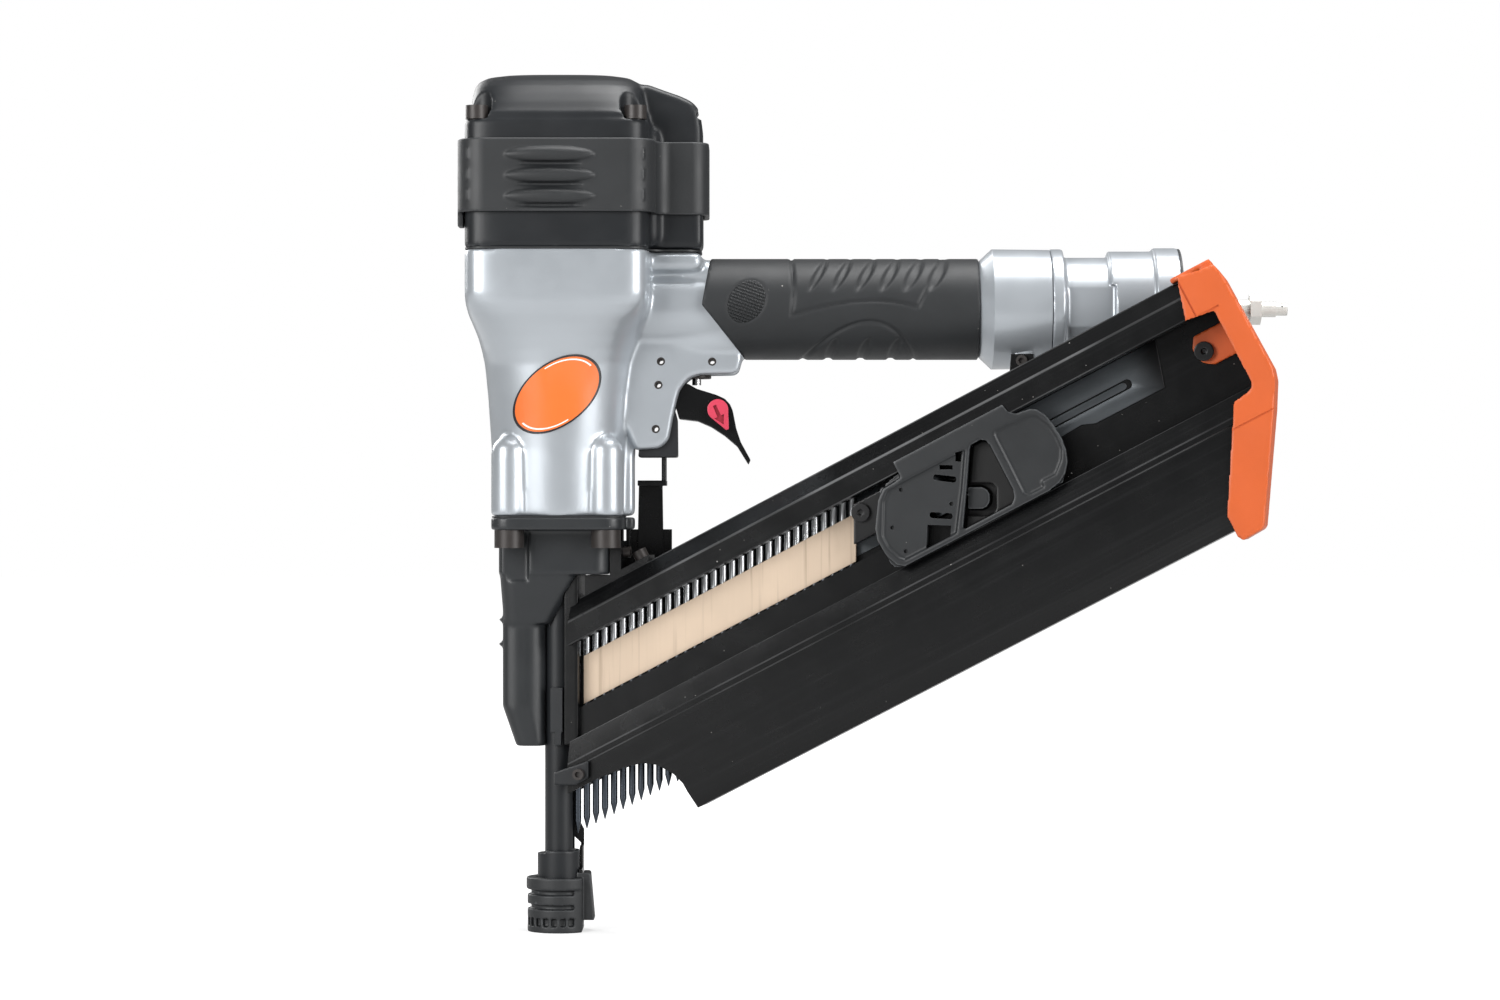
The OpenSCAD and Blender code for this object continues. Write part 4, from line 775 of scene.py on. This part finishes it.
# %% Rubber band
band_low, band_high = box_mm("bumper_band")
rib_proud, first_rib, rib_pitch = 2.4, 7.4, 9.2
flank = band_high[1] - rib_proud
rib_z = [band_high[2] - first_rib - rib_pitch * step for step in range(3)]


def lens(half, centre):
    """A ball drawn out to three half sizes."""
    piece = ball(1, (0, 0, 0))
    piece.scale = half
    piece.location = [c * MM for c in centre]
    return settle(piece)


ribs, furrows, planes = [], [], []
for side in (-1, 1):
    planes.append(block((120, 6, 80), (0, side * (flank + 3), band_low[2] + 20)))
    for z in rib_z:
        ribs.append(lens((20, 2.5, 3.4), (-2.4, side * flank, z)))
        furrows.append(lens((18, 1.6, 1.1), (-2.4, side * (flank + 0.3), z - 4)))
band = cut(cad_copy("bumper_band"), *planes)
band = melt([cut(joined([band, *ribs]), *furrows)], 0.62, 2, 0.4)
stand_in(band, "bumper_band", "bumper_band_rubber", 45)

# %% [markdown]
# The rubber grip
#
# The grip is moulded rubber, pulled over the handle tube. Its pattern is pressed in by the
# mould: an oval patch of woven texture for the thumb, a panel line, slanted flutes at the top
# and an arch with three small flutes below. Primitives can't give lines that follow a round
# sleeve, so the sleeve is remeshed finely and its vertices are pushed in along their normals.

# %% Lines drawn on the sleeve
def near_line(x, z, points):
    """The distance of each place from a chain of points."""
    nearest = np.full(len(x), np.inf)
    for (ax, az), (bx, bz) in zip(points, points[1:]):
        dx, dz = bx - ax, bz - az
        share = np.clip(((x - ax) * dx + (z - az) * dz) / (dx * dx + dz * dz), 0, 1)
        nearest = np.minimum(nearest, np.hypot(x - ax - share * dx, z - az - share * dz))
    return nearest


def arc_through(start, middle, end, steps=12):
    """Points along a smooth bow through three points."""
    bow = []
    for i in range(steps + 1):
        t = i / steps
        weights = ((1 - t) * (1 - 2 * t), 4 * t * (1 - t), t * (2 * t - 1))
        bow.append(tuple(sum(w * p[k] for w, p in zip(weights, (start, middle, end))) for k in (0, 1)))
    return bow


# %% Soft edges and ovals
def soft_step(distance, edge, width):
    """1 inside an edge, 0 outside it, with a smooth slope between."""
    share = np.clip((edge + width - distance) / (2 * width), 0, 1)
    return share * share * (3 - 2 * share)


def oval(x, z, centre, half, lean):
    """The distance from an oval's centre, 1 at its rim."""
    dx, dz = x - centre[0], z - centre[1]
    c, s = math.cos(math.radians(lean)), math.sin(math.radians(lean))
    return np.hypot((dx * c + dz * s) / half[0], (dz * c - dx * s) / half[1])


# %% Pressing a skin in
def press(piece, depth_at):
    """Pushes vertices in along their normals, by a depth in millimetres."""
    count = len(piece.data.vertices)
    places, normals = np.zeros(count * 3), np.zeros(count * 3)
    piece.data.vertices.foreach_get("co", places)
    piece.data.vertex_normals.foreach_get("vector", normals)
    places, normals = places.reshape(-1, 3), normals.reshape(-1, 3)
    depth = depth_at(places / MM, normals)
    places -= normals * (depth * MM)[:, None]
    piece.data.vertices.foreach_set("co", places.ravel())
    piece.data.update()
    return piece


# %% The pattern of the grip
patch_at, patch_half, patch_lean = (84, 2.6), (8.2, 10.6), 32


def grip_depth(places, normals):
    """How deep the mould presses each place of the sleeve in."""
    x, z = places[:, 0], places[:, 2] - handle_z
    outside = (np.hypot(places[:, 1], z) > tube_r + 2) & (abs(normals[:, 0]) < 0.7)
    panel = [(104, 24), (105, 6.5)] + arc_through((104, -3.7), (135, 2.7), (160, 0)) + [(171, 22)]
    arch = arc_through((108.3, -23.5), (139, -6.4), (159.5, -24))
    depth = 0.75 * soft_step(np.minimum(near_line(x, z, panel), near_line(x, z, arch)), 0.7, 0.7)
    for i in range(6):
        foot = 111.5 + 10.6 * i
        centre, half = (foot + 4.5, 15), (1.9 + 0.25 * i, 9.6)
        depth = np.maximum(depth, 1.1 * soft_step(oval(x, z, centre, half, -29), 0.8, 0.3))
    for middle in (122, 136.5, 150):
        depth = np.maximum(depth, 0.9 * soft_step(oval(x, z, (middle, -19), (2.4, 6.5), -24), 0.85, 0.2))
    depth = np.maximum(depth, 0.35 * soft_step(oval(x, z, patch_at, patch_half, -patch_lean), 1.0, 0.06))
    return depth * outside


# %% Grip
grip = melt([cad_copy("handle_grip")], 0.75, 2)
press(grip, grip_depth)
sleeve = painted("grip_rubber_woven", GRIP_BLACK, 0.5, grain=0.25, depth=0.03, dusty=0.6, shine=0.33)
leaning = sleeve.node("ShaderNodeMapping", {"vector_type": "TEXTURE"}, {
    "Vector": sleeve.place, "Location": (patch_at[0] * MM, 0, (handle_z + patch_at[1]) * MM),
    "Rotation": (0, math.radians(patch_lean), 0),
    "Scale": (patch_half[0] * MM, ALL_THROUGH, patch_half[1] * MM)})
patch = sleeve.ramp(sleeve.length(leaning), 0.9, 0.97, 1.0, 0.0)
weave = [sleeve.node("ShaderNodeTexWave", {"wave_profile": "SIN"}, {
    "Vector": sleeve.stretched((1.6, ALL_THROUGH, 1.6), (0, math.radians(turn), 0)), "Scale": 0.35})
    for turn in (20, 110)]
sleeve.raise_by(patch * (weave[0] + weave[1]) * 0.6)
stand_in(grip, "handle_grip", "handle_grip_rubber", 50, sleeve.build())

# %% [markdown]
# Cast and moulded pieces
#
# Castings and mouldings have no sharp edge: the mould's draft and radius are on every corner.
# These pieces keep the CAD outline, which carries the measured sizes. Each is remeshed and
# relaxed, so that every edge gets a small radius and every inner corner a fillet.

# %% Soft-edged pieces: the size of the remesh in millimetres, and the rounds of smoothing
MOULDED = {
    "handle_end_cap": (0.65, 3), "trigger_guide": (0.6, 2), "trigger": (0.4, 3),
    "contact_foot": (0.5, 2), "end_cap_trim": (0.4, 2),
    "feed_shoe": (0.6, 2), "lower_clamp": (0.4, 2),
    "end_cap_screw": (0.25, 1), "pusher_screw": (0.25, 1), "pusher_pawl": (0.45, 2),
    "valve_housing": (0.35, 1),
}
for node, (voxel, rounds) in MOULDED.items():
    stand_in(melt([cad_copy(node)], voxel, rounds), node, f"{node}_moulded", 45)

# %% Blackened small parts and the plated air plug
black_oxide = painted("black_oxide", (0.005, 0.005, 0.0055), 0.32, metallic=0.2, shine=0.5).build()
for node in ("end_cap_screw", "pusher_screw", "pusher_pawl"):
    dress(bpy.data.objects[f"{node}_moulded"], black_oxide)
nickel = painted("satin_nickel", (0.78, 0.77, 0.73), 0.44, metallic=0.8).build()
dress(nodes["air_plug"], nickel)
print("dressed again:", black_oxide.name, "and", nickel.name)

# %% [markdown]
# The no-mar tip
#
# A soft boot slips over the steel foot, so that the foot leaves no mark on finished wood. Two
# grooves run round it. The frame's own mesh of this piece is ragged in the band between those
# grooves, so a full collar of the band's size is laid over the copy before it is melted.

# %% No-mar tip
collar_r, collar_inner_r, collar_tall = 14.5, 11.6, 4.2
collar_at = (0, 0, box_mm("no_mar_tip")[0][2] + 14.6)
collar = rod(collar_r, collar_tall, collar_at, sides=96)
collar_bore = rod(collar_inner_r, 6, collar_at, sides=96)
arm_gap = block((20, 60, 10), (20.3, 0, collar_at[2]))
cut(collar, collar_bore, arm_gap)
stand_in(melt([cad_copy("no_mar_tip"), collar], 0.42, 2), "no_mar_tip", "no_mar_tip_moulded", 45)

# %% Nose casting, its guard trimmed to a rounded section
nose = cad_copy("nose_casting")
guard_x = box_mm("nose_casting")[0][0] + 13
guard = loft([(60, 11, 9.1, 2.3), (138, 11, 9.1, 2.3)])
guard.location.x = guard_x * MM
around_guard = cut(block((24, 40, 56), (guard_x, 0, 110)), settle(guard))
cut(nose, around_guard)
for side in (-1, 1):
    cut(nose, block((16, 4, 23), (-21.4, side * 14, 168.6)))
# Its edges take the pale tint of wear and painted highlight
cast = painted("nose_powder_coat", (0.015, 0.017, 0.019), 0.38, shine=0.5, wear_and_highlight=0.4, **POWDERY)
stand_in(melt([nose], 0.7, 9), "nose_casting", "nose_casting_moulded", 45, cast.build())

# %% [markdown]
# Extruded and stamped pieces
#
# The magazine is a sawn length of anodised extrusion, and the brackets are stamped from plate.
# Their faces stay flat. Only the edges are broken, with a narrow bevel that catches the light,
# and weighted normals keep that bevel's shading off the large faces.

# %% The magazine's own frame
feed_slope = math.radians(27.5)
feed_yaw = math.radians(10)
mag_place = (0, 0, 22.8)
mag_front = -15.0
ridge_z = 43.5
across_magazine = (math.sin(feed_yaw), math.cos(feed_yaw), 0)
up_magazine = (-math.sin(feed_slope) * math.cos(feed_yaw), math.sin(feed_slope) * math.sin(feed_yaw),
               math.cos(feed_slope))
length_of_magazine = (math.cos(feed_yaw) * math.cos(feed_slope), -math.sin(feed_yaw) * math.cos(feed_slope),
                      math.sin(feed_slope))


# %% Along it, up it and into it
def along_magazine(place):
    """The distance along the magazine of a place in the tool's frame."""
    level = place[0] * math.cos(feed_yaw) - place[1] * math.sin(feed_yaw)
    return level * math.cos(feed_slope) + (place[2] - mag_place[2]) * math.sin(feed_slope)


def height_in_magazine(finish):
    """The height of a place in the magazine's own frame, as a number in a finish."""
    return finish.along(up_magazine) - mag_place[2] * math.cos(feed_slope)


def on_magazine(piece, shift=0.0):
    """Puts a piece that was drawn level into the magazine's frame."""
    piece.location.x += shift * MM
    settle(piece)
    piece.rotation_euler = (0, -feed_slope, -feed_yaw)
    piece.location = [c * MM for c in mag_place]
    return settle(piece)


# %% Broken edges
def broken_edges(node, width):
    """A copy of a CAD piece with a narrow bevel on its sharp edges."""
    piece = cad_copy(node)
    edited(piece, (bpy.ops.mesh.dissolve_limited, {"angle_limit": math.radians(4)}))
    modified(piece, "BEVEL", width=width * MM, segments=2, limit_method="ANGLE", angle_limit=math.radians(28))
    return piece


BEVELLED = {
    "magazine_body": 0.9, "magazine_mount": 0.35, "magazine_bracket": 0.35, "arm_bracket": 0.3,
    "contact_arm": 0.3, "nose_clamp": 0.3,
}
for node, width in BEVELLED.items():
    piece = stand_in(broken_edges(node, width), node, f"{node}_plate", 30)
    modified(piece, "WEIGHTED_NORMAL", keep_sharp=True)

# %% The extrusion's own finish: die lines along it, and painted highlight lines along its edges
extrusion = painted("anodised_extrusion", ANODISED_BLACK, 0.25, dusty=1.6, shine=0.3)
lying = (0, -feed_slope, -feed_yaw)
die_lines = extrusion.noise(1, 3, extrusion.stretched((110, 1.1, 1.1), lying))
extrusion.tint(extrusion.ramp(die_lines, 0.52, 0.72) * 0.25, (0.017, 0.0175, 0.0185))
extrusion.raise_by(die_lines * 0.008)
height = height_in_magazine(extrusion)
patches = extrusion.noise(1, 2, extrusion.stretched((70, 70, 70), lying))
patchy = extrusion.ramp(patches, 0.38, 0.62, 0.25, 1.0)
front_only = extrusion.along(across_magazine) < -6
# Thin pale lines along the edges of the front face, faded in patches: painted highlights
painted_highlight_lines = [
    (100, 0.75, 0.9), (107.4, 0.4, 0.6), (ridge_z + 0.2, 0.5, 0.5), (ridge_z - 2.6, 0.4, 0.5),
    (ridge_z + 8.9, 0.35, 0.4), (90.8, 0.35, 0.4)]
for edge, half_width, amount in painted_highlight_lines:
    line = extrusion.ramp(abs(height - edge), half_width * 0.4, half_width, 1, 0)
    extrusion.tint(line * patchy * front_only * amount, (0.13, 0.132, 0.135))
dress(bpy.data.objects["magazine_body_plate"], extrusion.build())
print("painted highlight lines on the magazine:", len(painted_highlight_lines))

# %% [markdown]
# The pusher
#
# A glass-filled nylon slider that rides on the magazine's rail and pushes the nails forward.
# It has a thumb pad, a hand window with a D-shaped boss, slots that show the coil of the feed
# band, and a thin rim round its front face. It is drawn lying level in the magazine's own
# frame, then tilted and turned into place with it. Pockets are cut into a plate, as the mould
# does it, and only the moulded body is relaxed: the small slots are cut last and stay crisp.

# %% Place of the pusher
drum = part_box("feed_spring_drum")
drum_centre = [(low + high) / 2 / MM for low, high in zip(*drum)]
drum_in_pusher = 32
pusher_x = along_magazine(drum_centre) - drum_in_pusher
print(f"the pusher starts {pusher_x:.1f} mm along the magazine")

# %% Face of the pusher, with two pockets and the hand window
front = mag_front - 1.5
outline = [
    (22, 87.6), (22, 95.3), (76.4, 95.3), (77, 91.6), (79.5, 89.2), (86.3, 88), (88.6, 86.6), (91, 82.5),
    (92.2, 77), (92.6, 70), (92, 65), (90.2, 60), (87, 56), (83, 53.6), (77, 52.4), (5.5, 52.4), (3, 54.4),
    (0.6, 60), (0, 68), (1.6, 73), (8.4, 83.4), (12.6, 86.8)]
face = plate(outline, front, mag_front + 2)
lower_pocket = [
    (20.5, 85.6), (53, 85.6), (43.6, 70.6), (32.6, 54.6), (7, 54.6), (5, 57), (2.8, 63), (2.8, 68.6),
    (10.2, 82), (14.4, 85.4)]
thumb_pocket = [
    (67.2, 85.2), (66.8, 57), (67.6, 55.6), (69.4, 54.8), (76, 54.9), (76.4, 57.4), (83, 57.4),
    (88, 61.6), (90.6, 66), (91.2, 72), (90.4, 78), (87.4, 84), (84, 85.6), (68.6, 86.6)]
cut(face, plate(lower_pocket, front - 1, front + 1.1))
cut(face, plate(thumb_pocket, front - 1, front + 0.8))
window = [(56, 86.2), (60.6, 86.2), (62.8, 84.8), (63.4, 82), (63.4, 60), (62.4, 56.8), (60.2, 54.8),
          (35.6, 54.6), (45.6, 70.2), (54.6, 84.6)]
cut(face, plate(window, front - 1, mag_front + 3))
print("corners of the face and its window:", len(outline), "and", len(window))


# %% Sill and boss behind the window
def upright(outline, centre):
    """An outline that stands upright on the tool, though the magazine slopes."""
    c, s = math.cos(feed_slope), math.sin(feed_slope)
    return [(centre[0] + x * c + z * s, centre[1] + z * c - x * s) for x, z in outline]


sill = plate([(x + 0.4, z) for x, z in window], mag_front + 5, mag_front + 7)
sill_hole = [(-7.4, -6), (-6, -7.2), (6, -7.2), (8, -5), (8, 5), (6, 7), (-6, 7), (-7.4, 6)]
cut(sill, plate(upright(sill_hole, (47.2, 64)), mag_front, 0))
boss_outline = [(-4.6, -4.8), (1.4, -4.8), (3.6, -3.8), (4.8, -2), (5, 0), (4.8, 2), (3.6, 3.8),
                (1.4, 4.8), (-4.6, 4.8)]
boss = plate(upright(boss_outline, (47.8, 64.2)), mag_front + 3.6, mag_front + 11.6)
mouth = plate([(36, 55), (63, 55), (63, 86), (54, 86)], mag_front + 10, mag_front + 11.6)

# %% Body of the pusher, laid level and melted with the rest
body = cad_copy("pusher_frame")
body.rotation_euler = (0, 0, feed_yaw)
body.location = (0, 0, -mag_place[2] * MM)
settle(body)
body.rotation_euler = (0, feed_slope, 0)
settle(body)
body.location.x = -pusher_x * MM
settle(body)
cut(body, block((140, 6, 80), (40, front, 70)), plate(window, front - 1, mag_front + 10))
pusher = melt([body, face, sill, boss, mouth], 0.56, 1)
print("pusher, before its slots:", len(pusher.data.polygons), "faces")

# %% Slots and small holes of the pusher
slots = [
    [(48.4, 86.4), (51.4, 85.6), (48.6, 81.6), (46.6, 83)],
    [(39.6, 84.8), (44.8, 82), (43.9, 80.3), (38.7, 83)],
    [(22.8, 64), (32, 58.8), (29.6, 54.8), (17.4, 54.8)]]
for slot in slots:
    cut(pusher, plate(slot, front - 2, -4))
for start, end in (((35.4, 80.9), (42.6, 76)), ((26.4, 66.9), (33.6, 62.6))):
    lean = math.atan2(end[1] - start[1], end[0] - start[0])
    long_slot = block((10.4, 20, 2.7), (0, 0, 0), 1.2, 3)
    long_slot.rotation_euler = (0, -lean, 0)
    long_slot.location = ((start[0] + end[0]) / 2 * MM, (front + 4) * MM, (start[1] + end[1]) / 2 * MM)
    cut(pusher, settle(long_slot))
for x, z in ((19.5, 83), (8.5, 70), (36.5, 67.2), (39, 57.2), (9, 58)):
    cut(pusher, rod(0.95, 3, (x, front + 1.1, z), "Y"))
cut(pusher, block((140, 2, 20), (40, -3.9, 54.8)))
on_magazine(pusher, pusher_x)

# %% Nylon of the pusher, with painted shade that makes it near black inside the hand window
# Its edges take the pale tint of wear and painted highlight
nylon = painted("pusher_nylon", RUBBER_BLACK, 0.42, shine=0.4, wear_and_highlight=0.8, **POWDERY)
# Everything more than about 6 mm behind the front face is painted near black: painted shade in the window's
# recesses
inside = nylon.ramp(nylon.along(across_magazine), mag_front + 4.3, mag_front + 4.9)
nylon.tint(inside, (0.0015, 0.0015, 0.0015))
stand_in(pusher, "pusher_frame", "pusher_moulding", 40, nylon.build())
# The feed band and its drum take the darker liner steel in place of bright steel: painted shade inside the
# pusher
for node in ("feed_spring_drum", "feed_band"):
    dress(nodes[node], MATERIALS["liner_steel"])

# %% [markdown]
# Inside the magazine
#
# Below the tape an inner lip of the extrusion hides the shanks, so the points only come out at
# the open front end. The liner is a pressed strip with a long bead. The nails are bright wire,
# held by a strip of plain kraft paper that creases between one nail and the next.

# %% Inner lip of the channel
lip = block((268, 1.2, 20.4), (148, -4, 54))
on_magazine(lip)
cut(lip, block((60, 60, 400), (-22.6, 0, 100)))
lip.name = "magazine_lip"
dress(lip, MATERIALS["black_metal"])
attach(lip, body_of["magazine_body"])
print("lip:", len(lip.data.polygons), "faces")

# %% Liner
liner = broken_edges("magazine_liner", 0.25)
bead = plate(capsule((202, 79), (326, 79), 1.6), 3.2, 3.9, 0.3)
pressed = painted("liner_pressed", STRIP_STEEL, 0.36, metallic=0.6)
far_end = pressed.along(length_of_magazine)
# Towards its far end the liner is painted near black: painted shade
pressed.tint(pressed.ramp(far_end, 338, 356), (0.004, 0.004, 0.0045))
stand_in(joined([liner, on_magazine(bead)]), "magazine_liner", "magazine_liner_plate", 30, pressed.build())

# %% Nails: bright wire above, dipped in dark resin below
wire = painted("nail_wire", (0.5, 0.51, 0.52), 0.28, metallic=1)
wire.tint(wire.ramp(height_in_magazine(wire), 60, 75, 1, 0), (0.07, 0.08, 0.095))
dress(nodes["nail_strip"], wire.build())
print("nails:", len(nodes["nail_strip"].data.polygons), "faces")

# %% Paper tape
kraft = painted("kraft_paper", (0.62, 0.49, 0.37), 0.78, grain=0.5, depth=0.01, tone=0.06)
creases = kraft.noise(1, 2, kraft.stretched((2.2, 60, 70)))
# The crease lines are painted darker kraft, a painted shade in the folds; the bump from the same noise is the
# real crease
kraft.tint(kraft.ramp(creases, 0.56, 0.72) * 0.5, (0.33, 0.25, 0.18))
kraft.raise_by(creases * 0.12)
stand_in(cad_copy("nail_tape"), "nail_tape", "nail_tape_paper", 30, kraft.build())

# %% [markdown]
# Orange end cap and selector knob
#
# Both are bright moulded parts. The end cap slips over the sawn end of the magazine: its front
# shows the step of its upper tab and the fold where the lower wall starts. The knob is a
# teardrop that points at the chosen firing mode and carries a pressed-in arrow.

# %% End cap
mag_len = 384
cap_front = mag_front - 1.8
end_cap = melt([cad_copy("magazine_end_cap")], 0.6, 3)
grooves = [
    block((26, 1.1, 0.8), (mag_len - 12, cap_front, 39)),
    block((0.8, 1.1, 24), (mag_len - 14.8, cap_front, 101.6)),
    block((11, 1.1, 0.8), (mag_len - 9.6, cap_front, 89.6)),
]
cut(end_cap, *[on_magazine(groove) for groove in grooves])
stand_in(end_cap, "magazine_end_cap", "magazine_end_cap_moulded", 45)

# %% Knob
knob_low, knob_high = box_mm("selector_knob")
head_r = 4.7
pin_x, pin_z = knob_low[0] + head_r, knob_high[2] - head_r
knob = melt([cad_copy("selector_knob")], 0.3, 2)
arrow = [(-2.2, 1.6), (-0.8, 2.2), (1.4, -2.6), (2.8, -2), (2.6, -6.6), (-1.6, -4), (-0.2, -3.3)]
cut(knob, plate([(pin_x + x, pin_z + z) for x, z in arrow], knob_low[1] - 1, knob_low[1] + 0.9))
knob_red = painted("knob_red", SIGNAL_RED, 0.38, tone=0.08)
# Everything more than 0.8 mm behind the knob's face, the floor of the arrow among it, is painted darker red:
# painted shade
painted_depth_shade = knob_red.ramp(knob_red.along((0, 1, 0)), knob_low[1] + 0.4, knob_low[1] + 0.8)
knob_red.tint(painted_depth_shade, (0.3, 0.012, 0.03))
stand_in(knob, "selector_knob", "selector_knob_moulded", 40, knob_red.build())

# %% [markdown]
# Compression springs
#
# Four compression springs stand between the frame and a moving piece. Each one gets a finished copy
# of its CAD piece, with a mesh of its own.

# %% Compression springs
for joint in frame["joints"]:
    for entry in joint.get("deforming_nodes", []):
        node = entry["node"]
        coil = stand_in(cad_copy(node), node, f"{node}_coil", 60)
        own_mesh(coil)
